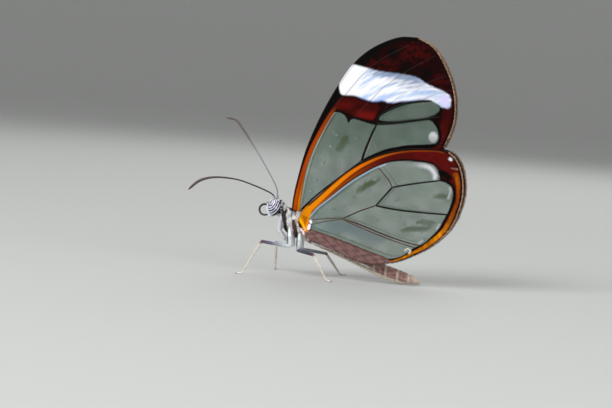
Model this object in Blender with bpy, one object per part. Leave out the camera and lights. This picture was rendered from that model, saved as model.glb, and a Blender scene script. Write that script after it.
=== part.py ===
"""Life-size glasswing butterfly at rest, its wings closed over its back, as a still display model.

The body runs along X with the head at -X and the tail at +X, the left side faces -Y, and +Z is up. The
origin is on the floor, under the middle of the whole insect. Four feet and the tip of the abdomen rest
on the floor. Sizes are in millimetres and become metres as each mesh is made.
"""

import math

import bpy
import numpy as np
from mathutils import Vector
from mathutils.geometry import delaunay_2d_cdt

MM = 0.001
GAP = 0.3  # clear space between neighbouring pieces

# Thorax: an egg whose front end is raised, cut flat at the neck and at the waist
THORAX_CENTRE = (-4.2, 0.0, 6.95)
THORAX_LENGTH = 4.9
THORAX_WIDTH = 2.5
THORAX_HEIGHT = 3.5
THORAX_PITCH = math.radians(38)
THORAX_CUT = 0.9  # share of the half length where the neck and the waist are cut

# Head: a narrow core with a large eye on each flat side. Its half height is given along its length.
HEAD_WIDTH = 0.84
HEAD_HEIGHT = 2.4
HEAD_CENTRE = (-7.0, 8.85)
HEAD_PROFILE = ((0.0, 0.25, 0.6, 0.85, 1.0), (0.54, 0.72, 1.0, 0.92, 0.66))
NECK_CLEAR = GAP + 0.05
FACE_X = -7.5
EYE_CENTRE = (-7.05, 8.75)
EYE_LENGTH = 1.6
EYE_HEIGHT = 2.05
EYE_DEPTH = 0.75
EYE_PITCH = math.radians(10)

# Mouthparts: a coiled tongue between two upright palps
TONGUE_RADIUS = 0.72
TONGUE_THICKNESS = 0.5
TONGUE_CENTRE = (-8.5, 8.5)
TONGUE_SWEEP = (math.radians(90), math.radians(318))
PALP_THICKNESS = 0.5
PALP_LINE = ((-7.3, 0.42, 7.3), (-7.95, 0.65, 7.5), (-8.4, 0.82, 8.2), (-8.45, 0.84, 9.4))

# Antennae: thin stalks that thicken into a slim club
ANTENNA_STALK = 0.5
ANTENNA_CLUB = 0.62
ANTENNA_TIP = 0.24
ANTENNA_LEFT_LINE = (
    (-7.2, -0.42, 10.4), (-7.8, -0.7, 10.8), (-9.7, -1.3, 11.5), (-12.2, -1.9, 12.2),
    (-15.0, -2.5, 12.3), (-17.0, -3.0, 11.7), (-18.4, -3.3, 10.4),
)
ANTENNA_RIGHT_LINE = (
    (-7.0, 0.42, 10.5), (-7.3, 0.9, 11.7), (-9.6, 1.9, 14.8), (-11.2, 2.7, 16.8),
    (-12.8, 3.4, 18.7), (-14.0, 3.9, 19.9), (-15.5, 4.5, 20.1),
)

# Abdomen: its middle line as (x, z), and half its height at each of those places
ABDOMEN_LINE = (
    (-1.0, 4.85), (1.0, 4.25), (3.5, 3.4), (6.0, 2.45), (8.2, 1.55), (10.2, 1.05), (11.8, 0.75), (13.1, 0.4),
)
ABDOMEN_RADII = (0.8, 0.92, 0.98, 1.0, 1.0, 0.98, 0.74, 0.36)
ABDOMEN_FLATNESS = 0.94  # width over height
ABDOMEN_SEGMENTS = 8
SEGMENT_GROOVE = 0.07
GROOVE_WIDTH = 0.22
WAIST_LENGTH = 0.5  # the straight first stretch behind the thorax

# Wings: four flat leaves side by side. The hindwings stand beside the thorax, the forewings between them.
WING_THICKNESS = 0.5
VEIN_RISE = 0.12
VEIN_HALF_WIDTH = 0.3
HINDWING_OFFSET = THORAX_WIDTH / 2 + GAP + WING_THICKNESS / 2
FOREWING_OFFSET = HINDWING_OFFSET - WING_THICKNESS - 2 * VEIN_RISE - GAP
WING_HINGE = (-4.0, 7.5)
WING_REACH = 25.0
WING_SPREAD = 0.45  # how far a leaf leans out from its root to its margin
WING_CAMBER = 0.25
FOREWING_TIP_LEAN = 0.5  # how much more a forewing leans out above the hindwing
FOREWING_FREE_FROM = 18.0
FOREWING_ROOT_X = (-3.5, -4.75)
FOREWING_ROOT_CLEAR = 0.45  # upright clear space over the sloping thorax
OUTLINE_STEP = 1.3
VEIN_STEP = 1.8
LEAF_STEP = 2.8
LEAF_CLEAR = 1.1  # how far an inner point keeps from the outline and the veins

FOREWING_OUTLINE = (
    (-4.6, 10.2), (-4.3, 12.9), (-3.5, 17.0), (-2.1, 21.4), (-0.1, 25.5), (2.1, 28.9), (4.7, 31.1),
    (7.9, 32.7), (10.4, 32.8), (12.8, 31.6), (14.9, 28.5), (16.0, 25.2), (16.2, 21.9), (15.2, 18.5),
    (12.8, 17.8), (9.4, 17.4), (5.5, 15.9), (1.6, 12.9), (-1.6, 9.9),
)
FOREWING_VEINS = (
    (
        (-4.2, 9.4), (-4.0, 11.6), (-3.1, 15.9), (-1.6, 20.4), (-0.2, 23.8),
        (2.0, 27.7), (4.2, 29.9), (7.2, 31.9), (9.6, 32.3),
    ),
    ((-3.7, 9.3), (-1.0, 11.4), (1.8, 13.9), (4.1, 15.9), (5.0, 18.8), (5.9, 21.3)),
    ((5.9, 21.3), (10.4, 21.9), (15.5, 23.1)),
    ((5.9, 21.3), (7.6, 23.3), (10.0, 24.0), (15.3, 25.3)),
    ((5.9, 21.3), (3.7, 21.4), (2.0, 21.1), (0.4, 22.2), (-0.5, 23.0)),
    ((2.6, 21.4), (5.1, 24.4), (8.0, 26.8), (13.4, 29.9)),
    ((0.5, 23.8), (2.3, 25.8), (4.8, 28.1), (10.6, 31.6)),
    ((6.8, 22.6), (8.9, 25.0), (12.0, 26.7), (14.6, 27.9)),
    ((4.1, 15.9), (7.4, 17.4), (10.7, 18.3), (15.0, 19.6)),
)
HINDWING_OUTLINE = (
    (-3.7, 7.9), (-1.7, 10.4), (2.4, 14.7), (5.8, 17.0), (9.3, 18.2), (12.9, 18.5), (15.8, 18.2),
    (17.5, 16.7), (18.3, 13.9), (18.1, 11.0), (16.9, 8.0), (14.5, 5.4), (11.9, 3.9), (9.0, 2.8),
    (5.3, 2.6), (1.9, 3.6), (-1.6, 5.0), (-3.2, 6.4),
)
HINDWING_VEINS = (
    (
        (-3.2, 7.6), (-1.8, 9.5), (0.5, 11.9), (3.0, 14.3), (5.6, 16.0),
        (8.2, 17.0), (11.2, 17.5), (13.9, 17.3), (16.0, 16.6),
    ),
    ((-2.5, 7.6), (-0.6, 7.8), (2.4, 8.2), (6.7, 10.4), (8.8, 13.0), (7.2, 14.6), (5.6, 16.0)),
    ((6.7, 10.4), (11.5, 10.1), (17.3, 9.8)),
    ((8.8, 13.0), (11.9, 13.6), (17.5, 14.9)),
    ((2.4, 8.2), (5.6, 7.2), (9.1, 6.2), (14.2, 5.7)),
    ((-2.5, 6.9), (0.9, 6.1), (3.5, 5.3), (5.8, 4.8), (9.6, 3.6)),
)

# Walking legs: the way from the thorax's middle to the hip, the joint under the hip, the knee, and the
# ankle's place on the floor. A toe runs on outwards from the ankle, sunk a little so that it lies flat.
TOE_LENGTH = 0.8
COXA_THICKNESS = 0.76
LEG_THICKNESS = 0.5
TOE_HEIGHT = 0.21
HIP_CLEAR = GAP + 0.22
LEG_PLACES = {
    "leg_mid_left": ((-0.5, -0.8, -1.5), (-4.5, -1.4, 3.9), (-7.9, -4.2, 4.4), (-9.9, -5.6)),
    "leg_hind_left": ((0.6, -0.8, -1.5), (-3.2, -1.4, 3.4), (-0.7, -4.4, 3.2), (1.3, -5.5)),
    "leg_mid_right": ((-0.5, 0.8, -1.5), (-4.5, 1.4, 3.9), (-7.3, 4.2, 3.9), (-7.4, 5.45)),
    "leg_hind_right": ((0.6, 0.8, -1.5), (-3.2, 1.4, 3.4), (-0.4, 4.3, 2.9), (1.5, 5.5)),
}

# Front legs, small and folded: the way to the hip, then the two joints under it
FORELEG_HIP = (-1.6, 0.45, -0.3)
FORELEG_LINE = ((-6.55, 0.6, 5.95), (-5.6, 0.6, 4.55))

SKIN_SIDES = 20
BODY_SIDES = 16
LIMB_SIDES = 8
CORNER_RADIUS = 0.3
BODY_STEP = 0.42
HEAD_STEP = 0.15
LIMB_STEP = 0.9


def clear_scene():
    """Empties the file of its objects."""
    for obj in list(bpy.data.objects):
        bpy.data.objects.remove(obj, do_unlink=True)


def material(name, colour, roughness, metallic=0.0):
    """A plain Principled finish."""
    made = bpy.data.materials.new(name)
    made.use_nodes = True
    shader = made.node_tree.nodes["Principled BSDF"]
    shader.inputs["Base Color"].default_value = (*colour, 1.0)
    shader.inputs["Roughness"].default_value = roughness
    shader.inputs["Metallic"].default_value = metallic
    return made


def add_object(name, points, faces, finish):
    """Puts a closed mesh, given in millimetres, into the scene in metres."""
    mesh = bpy.data.meshes.new(name)
    mesh.from_pydata((np.asarray(points, float) * MM).tolist(), [], [tuple(map(int, face)) for face in faces])
    mesh.validate()
    mesh.update()
    mesh.shade_smooth()
    mesh.set_sharp_from_angle(angle=math.radians(50))
    mesh.materials.append(finish)
    obj = bpy.data.objects.new(name, mesh)
    bpy.context.scene.collection.objects.link(obj)
    return obj


def resampled(points, step):
    """The same line with its points spread evenly, about a step apart."""
    points = np.asarray(points, float)
    run = np.concatenate([[0], np.cumsum(np.linalg.norm(np.diff(points, axis=0), axis=1))])
    places = np.linspace(0, run[-1], max(2, round(run[-1] / step) + 1))
    return np.stack([np.interp(places, run, points[:, k]) for k in range(points.shape[1])], axis=1)


def curve_through(points, step, closed=False):
    """A Catmull-Rom curve through the points, sampled about a step apart."""
    points = np.asarray(points, float)
    if closed:
        padded = np.concatenate([points[-1:], points, points[:2]])
    else:
        first, last = 2 * points[0] - points[1], 2 * points[-1] - points[-2]
        padded = np.concatenate([[first], points, [last]])
    t = np.linspace(0, 1, 16, endpoint=False)[:, None]
    pieces = []
    for a, b, c, d in zip(padded, padded[1:], padded[2:], padded[3:]):
        bend = (2 * a - 5 * b + 4 * c - d) * t**2 + (3 * b - a - 3 * c + d) * t**3
        pieces.append(b + 0.5 * ((c - a) * t + bend))
    line = np.concatenate(pieces + [points[:1] if closed else points[-1:]])
    line = resampled(line, step)
    return line[:-1] if closed else line


def rounded_corners(points, radius):
    """A bent line with each inner corner turned into a short arc."""
    points = np.asarray(points, float)
    line = [points[0]]
    for before, corner, after in zip(points, points[1:], points[2:]):
        start = corner + (before - corner) / np.linalg.norm(before - corner) * radius
        end = corner + (after - corner) / np.linalg.norm(after - corner) * radius
        for t in (0.0, 0.33, 0.67, 1.0):
            line.append((1 - t) ** 2 * start + 2 * t * (1 - t) * corner + t**2 * end)
    line.append(points[-1])
    return np.array(line)


def ring_frames(path):
    """For each point of a path, two unit vectors across it, carried along without twist."""
    tangents = np.gradient(path, axis=0)
    tangents /= np.linalg.norm(tangents, axis=1)[:, None]
    across = np.array([0.0, 1.0, 0.0])
    if abs(tangents[0] @ across) > 0.9:
        across = np.array([1.0, 0.0, 0.0])
    sides, ups = [], []
    for tangent in tangents:
        across = across - (across @ tangent) * tangent
        across /= np.linalg.norm(across)
        sides.append(across)
        ups.append(np.cross(tangent, across))
    return np.array(sides), np.array(ups)


def swept(path, half_widths, half_heights, sides):
    """A closed skin of oval rings along a path, with a flat fan over each end."""
    path = np.asarray(path, float)
    side, up = ring_frames(path)
    turn = np.arange(sides) * 2 * math.pi / sides
    rings = (
        path[:, None]
        + np.cos(turn)[None, :, None] * side[:, None] * np.asarray(half_widths)[:, None, None]
        + np.sin(turn)[None, :, None] * up[:, None] * np.asarray(half_heights)[:, None, None]
    )
    points = np.concatenate([rings.reshape(-1, 3), path[:1], path[-1:]])
    faces = []
    count = len(path)
    for k in range(count - 1):
        for j in range(sides):
            a, b = k * sides + j, k * sides + (j + 1) % sides
            faces.append((a, b, b + sides))
            faces.append((a, b + sides, a + sides))
    for j in range(sides):
        after = (j + 1) % sides
        faces.append((count * sides, after, j))
        faces.append((count * sides + 1, (count - 1) * sides + j, (count - 1) * sides + after))
    return points, faces


def tube(path, thickness, sides=LIMB_SIDES):
    """A round limb along a path; thickness is a list of diameters spread evenly along it."""
    path = np.asarray(path, float)
    run = np.concatenate([[0], np.cumsum(np.linalg.norm(np.diff(path, axis=0), axis=1))])
    stops = np.linspace(0, run[-1], len(thickness))
    radii = np.interp(run, stops, thickness) / 2
    return swept(path, radii, radii, sides)


def thorax_axes():
    """Unit vectors from neck to waist and from belly to back."""
    back = np.array([math.cos(THORAX_PITCH), 0.0, -math.sin(THORAX_PITCH)])
    up = np.array([math.sin(THORAX_PITCH), 0.0, math.cos(THORAX_PITCH)])
    return back, up


def thorax_end(sign, clear=0.0):
    """Middle of the flat at the neck (-1) or the waist (+1), moved out by a clear space."""
    back, _ = thorax_axes()
    return np.array(THORAX_CENTRE) + back * sign * (THORAX_LENGTH / 2 * THORAX_CUT + clear)


def thorax_skin(direction, clear=GAP):
    """The point at a clear distance off the thorax, seen from its middle in this direction."""
    back, up = thorax_axes()
    direction = np.asarray(direction, float) / np.linalg.norm(direction)
    reach = 1 / math.sqrt(
        (direction @ back / (THORAX_LENGTH / 2)) ** 2
        + (direction[1] / (THORAX_WIDTH / 2)) ** 2
        + (direction @ up / (THORAX_HEIGHT / 2)) ** 2
    )
    return np.array(THORAX_CENTRE) + direction * (reach + clear)


def thorax_roof(x, y):
    """Height of the thorax's upper surface over a place."""
    back, up = thorax_axes()
    along, high = THORAX_LENGTH / 2, THORAX_HEIGHT / 2
    east = x - THORAX_CENTRE[0]
    room = 1 - (y / (THORAX_WIDTH / 2)) ** 2
    a = (back[2] / along) ** 2 + (up[2] / high) ** 2
    b = 2 * east * (back[0] * back[2] / along**2 + up[0] * up[2] / high**2)
    c = east**2 * ((back[0] / along) ** 2 + (up[0] / high) ** 2) - room
    return THORAX_CENTRE[2] + (-b + math.sqrt(max(b * b - 4 * a * c, 0.0))) / (2 * a)


def make_thorax(finish):
    """An egg of oval rings between the neck and the waist."""
    back, _ = thorax_axes()
    places = np.sin(np.linspace(-1, 1, 11) * math.asin(THORAX_CUT))
    path = np.array(THORAX_CENTRE) + places[:, None] * back * THORAX_LENGTH / 2
    share = np.sqrt(1 - places**2)
    points, faces = swept(path, share * THORAX_WIDTH / 2, share * THORAX_HEIGHT / 2, SKIN_SIDES)
    add_object("thorax", points, faces, finish)


def make_abdomen(finish):
    """A tapering body with a shallow groove behind each segment, laid on the floor at its tip."""
    waist = [thorax_end(1, GAP), thorax_end(1, GAP + WAIST_LENGTH)]
    line = np.array(waist + [(x, 0.0, z) for x, z in ABDOMEN_LINE])
    path = curve_through(line, BODY_STEP)
    waist_radius = THORAX_HEIGHT / 2 * math.sqrt(1 - THORAX_CUT**2)
    run = np.concatenate([[0], np.cumsum(np.linalg.norm(np.diff(path, axis=0), axis=1))])
    stops = [run[np.argmin(np.linalg.norm(path - point, axis=1))] for point in line]
    radii = np.interp(run, stops, (waist_radius, waist_radius) + ABDOMEN_RADII)
    segment = run[-1] / ABDOMEN_SEGMENTS
    groove = np.exp(-(((run / segment + 0.5) % 1 - 0.5) * segment / GROOVE_WIDTH) ** 2)
    groove[run < segment / 2] = 0
    radii = radii * (1 - SEGMENT_GROOVE * groove)
    points, faces = swept(path, radii * ABDOMEN_FLATNESS, radii, BODY_SIDES)
    points[:, 2] = np.maximum(points[:, 2], 0.0)
    add_object("abdomen", points, faces, finish)


def make_head(finish):
    """A narrow core from the neck to the face, flat beside the eyes."""
    neck = [thorax_end(-1, NECK_CLEAR), thorax_end(-1, 2 * NECK_CLEAR)]
    path = curve_through(neck + [(HEAD_CENTRE[0], 0, HEAD_CENTRE[1]), (FACE_X, 0, HEAD_CENTRE[1])], HEAD_STEP)
    heights = HEAD_HEIGHT / 2 * np.interp(np.linspace(0, 1, len(path)), *HEAD_PROFILE)
    widths = np.full(len(path), HEAD_WIDTH / 2)
    points, faces = swept(path, widths, heights, BODY_SIDES)
    add_object("head", points, faces, finish)


def make_eye(name, side, finish):
    """Half an egg, its flat face turned to the head."""
    inner = HEAD_WIDTH / 2 + GAP
    lean = np.array([math.sin(EYE_PITCH), 0, math.cos(EYE_PITCH)])
    forward = np.array([math.cos(EYE_PITCH), 0, -math.sin(EYE_PITCH)])
    rise = np.linspace(0, math.pi / 2, 7)[:-1]
    turn = np.arange(SKIN_SIDES) * 2 * math.pi / SKIN_SIDES
    centre = np.array([EYE_CENTRE[0], 0, EYE_CENTRE[1]])
    points, faces = [], []
    for height in rise:
        for angle in turn:
            points.append(
                centre
                + forward * math.cos(height) * math.cos(angle) * EYE_LENGTH / 2
                + lean * math.cos(height) * math.sin(angle) * EYE_HEIGHT / 2
                + np.array([0, side * (inner + EYE_DEPTH * math.sin(height)), 0])
            )
    pole, base = len(points), len(points) + 1
    points += [centre + np.array([0, side * (inner + EYE_DEPTH), 0]), centre + np.array([0, side * inner, 0])]
    for k in range(len(rise) - 1):
        for j in range(SKIN_SIDES):
            a, b = k * SKIN_SIDES + j, k * SKIN_SIDES + (j + 1) % SKIN_SIDES
            faces.append((a, b, b + SKIN_SIDES, a + SKIN_SIDES))
    last = (len(rise) - 1) * SKIN_SIDES
    for j in range(SKIN_SIDES):
        after = (j + 1) % SKIN_SIDES
        faces.append((last + j, last + after, pole))
        faces.append((after, j, base))
    add_object(name, points, [face[::-1] for face in faces] if side > 0 else faces, finish)


def make_tongue(finish):
    """The coiled tongue: it leaves the face level, curls down and under, and ends near the palps."""
    angle = np.linspace(*TONGUE_SWEEP, 18)
    ring = np.stack([np.cos(angle), 0 * angle, np.sin(angle)], axis=1) * TONGUE_RADIUS
    ring += (TONGUE_CENTRE[0], 0, TONGUE_CENTRE[1])
    root = (FACE_X - GAP, 0, ring[0][2])
    points, faces = tube([root, *ring], [TONGUE_THICKNESS] * 4 + [TONGUE_THICKNESS * 0.7])
    add_object("proboscis", points, faces, finish)


def make_palp(name, side, finish):
    """An upright palp that rises from under the face, before the eye, to a blunt point."""
    path = curve_through([(x, side * y, z) for x, y, z in PALP_LINE], CORNER_RADIUS)
    points, faces = tube(path, [PALP_THICKNESS, PALP_THICKNESS * 1.1, PALP_THICKNESS, PALP_THICKNESS * 0.5])
    add_object(name, points, faces, finish)


def make_antenna(name, line, finish):
    """A stalk that thickens into a club over its last third."""
    path = curve_through(line, LIMB_STEP)
    points, faces = tube(path, [ANTENNA_STALK] * 4 + [ANTENNA_CLUB] * 3 + [ANTENNA_TIP])
    add_object(name, points, faces, finish)


def make_leg(name, hip, thigh, knee, foot, finish):
    """Hip, thigh, shin and a toe that lies on a small flat."""
    outward = np.array([foot[0] - knee[0], foot[1] - knee[1], 0.0])
    outward /= np.linalg.norm(outward)
    toe = np.array(foot) + outward * TOE_LENGTH
    path = rounded_corners([hip, thigh, knee, foot, toe], CORNER_RADIUS)
    run = np.concatenate([[0], np.cumsum(np.linalg.norm(np.diff(path, axis=0), axis=1))])
    coxa = np.linalg.norm(np.array(thigh) - np.array(hip))
    radii = np.interp(run, (coxa, coxa + 2 * CORNER_RADIUS), (COXA_THICKNESS, LEG_THICKNESS)) / 2
    points, faces = swept(path, radii, radii, LIMB_SIDES)
    points[:, 2] = np.maximum(points[:, 2], 0.0)
    add_object(name, points, faces, finish)


def make_foreleg(name, side, finish):
    """The small front leg, folded against the chest."""
    mirror = np.array([1, side, 1])
    hip = thorax_skin(FORELEG_HIP * mirror, HIP_CLEAR)
    path = rounded_corners([hip] + [point * mirror for point in FORELEG_LINE], CORNER_RADIUS)
    points, faces = tube(path, [LEG_THICKNESS, LEG_THICKNESS, LEG_THICKNESS, LEG_THICKNESS * 0.7])
    add_object(name, points, faces, finish)


def distance_to_line(points, line):
    """Shortest distance from each point to a bent line, both in the plane."""
    start, along = line[:-1], np.diff(line, axis=0)
    share = ((points[:, None] - start) * along).sum(2) / (along**2).sum(1)
    nearest = start + np.clip(share, 0, 1)[..., None] * along
    return np.linalg.norm(points[:, None] - nearest, axis=2).min(axis=1)


def inside_outline(points, outline):
    """Whether each point lies inside a closed outline, by counting crossings."""
    x, z = points[:, 0, None], points[:, 1, None]
    x0, z0 = outline[:, 0], outline[:, 1]
    x1, z1 = np.roll(x0, -1), np.roll(z0, -1)
    straddles = (z0 > z) != (z1 > z)
    crossing = x0 + (z - z0) * (x1 - x0) / np.where(z1 == z0, 1, z1 - z0)
    return (straddles & (x < crossing)).sum(axis=1) % 2 == 1


def vein_feet(veins, outline):
    """Lines along both feet of each vein, broken where another vein or the margin is near."""
    closed = np.concatenate([outline, outline[:1]])
    runs = []
    for k, vein in enumerate(veins):
        others = [other for m, other in enumerate(veins) if m != k]
        tangent = np.gradient(vein, axis=0)
        normal = np.stack([-tangent[:, 1], tangent[:, 0]], axis=1) / np.linalg.norm(tangent, axis=1)[:, None]
        for sign in (-1, 1):
            foot = vein + sign * VEIN_HALF_WIDTH * normal
            keep = inside_outline(foot, outline) & (distance_to_line(foot, closed) > VEIN_HALF_WIDTH)
            for other in others:
                keep &= distance_to_line(foot, other) > VEIN_HALF_WIDTH * 1.2
            runs.append((foot, keep))
    return runs


def wing_plan(outline_points, vein_points):
    """Triangles of a wing seen from its side, cut along its veins, and how high each point stands."""
    outline = curve_through(outline_points, OUTLINE_STEP, closed=True)
    veins = [curve_through(points, VEIN_STEP) for points in vein_points]
    points, edges = list(map(tuple, outline)), []
    edges += [(k, (k + 1) % len(outline)) for k in range(len(outline))]
    known = {}
    for vein in veins:
        last = None
        for place in vein:
            key = (round(place[0], 2), round(place[1], 2))
            if key not in known:
                known[key] = len(points)
                points.append(tuple(place))
            if last is not None:
                edges.append((last, known[key]))
            last = known[key]
    for foot, keep in vein_feet(veins, outline):
        last = None
        for place, kept in zip(foot, keep):
            if not kept:
                last = None
                continue
            points.append(tuple(place))
            if last is not None:
                edges.append((last, len(points) - 1))
            last = len(points) - 1
    low, high = outline.min(axis=0), outline.max(axis=0)
    columns, rows = (np.arange(low[k], high[k], LEAF_STEP) for k in range(2))
    grid = np.stack(np.meshgrid(columns, rows), axis=-1).reshape(-1, 2)
    grid = grid[inside_outline(grid, outline)]
    taken = np.array(points)
    grid = grid[np.linalg.norm(grid[:, None] - taken, axis=2).min(axis=1) > LEAF_CLEAR]
    points += list(map(tuple, grid))
    plan, _, faces, _, _, _ = delaunay_2d_cdt([Vector(point) for point in points], edges, [], 1, 1e-4)
    plan = np.array([tuple(point) for point in plan])
    nearest = np.min([distance_to_line(plan, vein) for vein in veins], axis=0)
    rise = VEIN_RISE * np.clip(1 - nearest / VEIN_HALF_WIDTH, 0, 1)
    return plan, np.array(faces), rise


def leaf_lean(plan, tip_lean):
    """How far a wing's leaf leans out from its root, at each point of its plan."""
    reach = np.linalg.norm(plan - np.array(WING_HINGE), axis=1) / WING_REACH
    top = max(z for _, z in FOREWING_OUTLINE)
    free = np.clip((plan[:, 1] - FOREWING_FREE_FROM) / (top - FOREWING_FREE_FROM), 0, 1)
    bow = 4 * WING_CAMBER * reach * (1 - reach)
    return WING_SPREAD * reach + bow + tip_lean * free**2 * (3 - 2 * free)


def make_wing(name, plan, faces, rise, offset, tip_lean, side, finish):
    """A leaf of even thickness whose veins stand up alike on both faces."""
    middle = offset + leaf_lean(plan, tip_lean)
    half = WING_THICKNESS / 2 + rise
    outer = np.stack([plan[:, 0], side * (middle + half), plan[:, 1]], axis=1)
    inner = np.stack([plan[:, 0], side * (middle - half), plan[:, 1]], axis=1)
    count = len(plan)
    a, b, c = plan[faces[0]]
    turned = (b[0] - a[0]) * (c[1] - a[1]) - (b[1] - a[1]) * (c[0] - a[0]) < 0
    if turned:
        faces = faces[:, ::-1]
    ends = np.concatenate([faces[:, [0, 1]], faces[:, [1, 2]], faces[:, [2, 0]]])
    known = set(map(tuple, ends))
    rim = [(p, q) for p, q in ends if (q, p) not in known]
    solid = [tuple(face) for face in faces]
    solid += [(r + count, q + count, p + count) for p, q, r in faces]
    for p, q in rim:
        solid += [(q, p, p + count), (q, p + count, q + count)]
    if side > 0:
        solid = [face[::-1] for face in solid]
    add_object(name, np.concatenate([outer, inner]), solid, finish)


def make_body(finishes):
    """Thorax, abdomen, head, eyes and mouthparts."""
    make_thorax(finishes["thorax"])
    make_abdomen(finishes["abdomen"])
    make_head(finishes["head"])
    make_tongue(finishes["tongue"])
    for side, word in ((-1, "left"), (1, "right")):
        make_eye(f"eye_{word}", side, finishes["eye"])
        make_palp(f"palp_{word}", side, finishes["palp"])


def make_antennae(finish):
    """The left one is held low and forward, the right one stands up."""
    make_antenna("antenna_left", ANTENNA_LEFT_LINE, finish)
    make_antenna("antenna_right", ANTENNA_RIGHT_LINE, finish)


def make_legs(finishes):
    """Two walking pairs and the small folded front pair."""
    for name, (direction, thigh, knee, foot) in LEG_PLACES.items():
        hip = thorax_skin(direction, HIP_CLEAR)
        make_leg(name, hip, thigh, knee, (*foot, TOE_HEIGHT), finishes["leg"])
    for side, word in ((-1, "left"), (1, "right")):
        make_foreleg(f"leg_fore_{word}", side, finishes["leg"])


def make_wings(finishes):
    """A pair of forewings, whose roots stand on the thorax, between a pair of hindwings."""
    inner_face = FOREWING_OFFSET - WING_THICKNESS / 2
    root = tuple((x, thorax_roof(x, inner_face) + FOREWING_ROOT_CLEAR) for x in FOREWING_ROOT_X)
    forewing = wing_plan(FOREWING_OUTLINE + root, FOREWING_VEINS)
    hindwing = wing_plan(HINDWING_OUTLINE, HINDWING_VEINS)
    kinds = (
        ("forewing", forewing, FOREWING_OFFSET, FOREWING_TIP_LEAN),
        ("hindwing", hindwing, HINDWING_OFFSET, 0.0),
    )
    for kind, plan, offset, tip_lean in kinds:
        for side, word in ((-1, "left"), (1, "right")):
            make_wing(f"{kind}_{word}", *plan, offset, tip_lean, side, finishes[kind])


def main():
    clear_scene()
    finishes = {
        "thorax": material("dark_brown_fur", (0.06, 0.04, 0.03), 0.8),
        "abdomen": material("mauve_brown_scales", (0.25, 0.14, 0.11), 0.7),
        "head": material("black_and_white_scales", (0.12, 0.11, 0.12), 0.7),
        "eye": material("striped_eye", (0.30, 0.28, 0.32), 0.25),
        "tongue": material("black_horn", (0.01, 0.01, 0.01), 0.35),
        "palp": material("white_scales", (0.55, 0.55, 0.58), 0.7),
        "antenna": material("brown_horn", (0.10, 0.07, 0.05), 0.5),
        "leg": material("cream_scales", (0.60, 0.52, 0.42), 0.6),
        "forewing": material("clear_forewing", (0.30, 0.12, 0.08), 0.4),
        "hindwing": material("clear_hindwing", (0.45, 0.20, 0.08), 0.4),
    }
    make_body(finishes)
    make_antennae(finishes["antenna"])
    make_legs(finishes)
    make_wings(finishes)


main()
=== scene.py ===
"""Looks of a life-size glasswing butterfly at rest: clear wings with scaled borders, a furred body, striped
eyes, a coiled tongue, palps, feelers and scaled legs.

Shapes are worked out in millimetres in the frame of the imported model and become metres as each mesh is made.
The head is at -X, the insect's left side faces -Y, and +Z is up.
"""

import math

import bpy
import numpy as np
from bpy.props import FloatProperty, FloatVectorProperty, IntProperty, PointerProperty
from mathutils import Matrix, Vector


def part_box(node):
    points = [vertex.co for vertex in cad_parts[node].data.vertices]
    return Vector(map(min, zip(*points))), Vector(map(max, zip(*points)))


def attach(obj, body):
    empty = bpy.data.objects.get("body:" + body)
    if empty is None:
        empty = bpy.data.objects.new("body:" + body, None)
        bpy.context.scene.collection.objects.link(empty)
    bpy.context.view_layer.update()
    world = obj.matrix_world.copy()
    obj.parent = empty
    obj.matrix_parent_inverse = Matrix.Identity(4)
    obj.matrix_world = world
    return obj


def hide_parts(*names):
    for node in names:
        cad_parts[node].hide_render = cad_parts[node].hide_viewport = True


bl_info = {
    "name": "Glasswing Butterfly",
    "version": (1, 0, 0),
    "blender": (4, 5, 0),
    "location": "View3D > Sidebar > Glasswing",
    "description": "Builds the finished surfaces of a life-size glasswing butterfly",
    "category": "Object",
}

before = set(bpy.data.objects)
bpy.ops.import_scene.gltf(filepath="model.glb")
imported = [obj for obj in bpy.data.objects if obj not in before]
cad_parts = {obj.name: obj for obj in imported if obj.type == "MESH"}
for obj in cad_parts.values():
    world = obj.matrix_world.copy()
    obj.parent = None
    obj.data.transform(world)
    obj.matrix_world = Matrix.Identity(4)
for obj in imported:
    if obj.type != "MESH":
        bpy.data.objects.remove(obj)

MM = 0.001
SIDES = ((-1, "left"), (1, "right"))

# Wing plan: outlines, cells and veins as (x, z)
WING_HINGE = (-4.0, 7.5)
WING_REACH = 25.0
WING_SPREAD = 0.45  # how far a leaf leans out from its root to its margin
WING_CAMBER = 0.25
WING_TUCK = 0.75  # how far a root bends in to the thorax
TUCK_REACH = 1.6
TIP_LEAN = 0.5  # how much more a forewing leans out above the hindwing
TIP_FREE_FROM = 18.0
TIP_TOP = 32.8

FOREWING_COSTA = (
    (-4.72, 7.8), (-4.52, 10.2), (-4.1, 12.9), (-3.2, 17.0), (-1.62, 21.4), (0.35, 25.5), (2.4, 28.8),
    (4.8, 31.0), (7.9, 32.5), (10.4, 32.7),
)
FOREWING_HIND = (
    (-3.7, 7.8), (-3.2, 8.9), (-1.6, 9.9), (1.6, 12.9), (5.5, 15.9), (9.4, 17.4), (12.8, 17.9), (15.0, 18.6),
    (16.0, 21.9), (15.9, 25.2), (14.8, 28.4), (12.8, 31.4), (10.4, 32.7),
)
FOREWING_MARGIN = ((15.0, 18.6), (16.0, 21.9), (15.9, 25.2), (14.8, 28.4), (12.8, 31.4), (10.4, 32.7))
FOREWING_CELL = (
    (-3.7, 9.4), (-3.5, 11.5), (-3.2, 13.6), (-2.75, 15.8), (-2.1, 17.8), (-1.2, 20.1), (-0.5, 21.5),
    (0.1, 22.1), (1.2, 22.0), (1.8, 21.4), (2.05, 20.8), (2.6, 21.4), (3.9, 21.2), (5.2, 20.9), (6.4, 20.9),
    (9.0, 21.3), (12.6, 22.0), (13.4, 21.6), (13.9, 20.9), (14.1, 19.9), (13.8, 19.1), (12.6, 18.8),
    (10.2, 18.5), (7.5, 17.7), (4.2, 15.85), (0.5, 12.45), (-3.2, 9.15),
)
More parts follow.
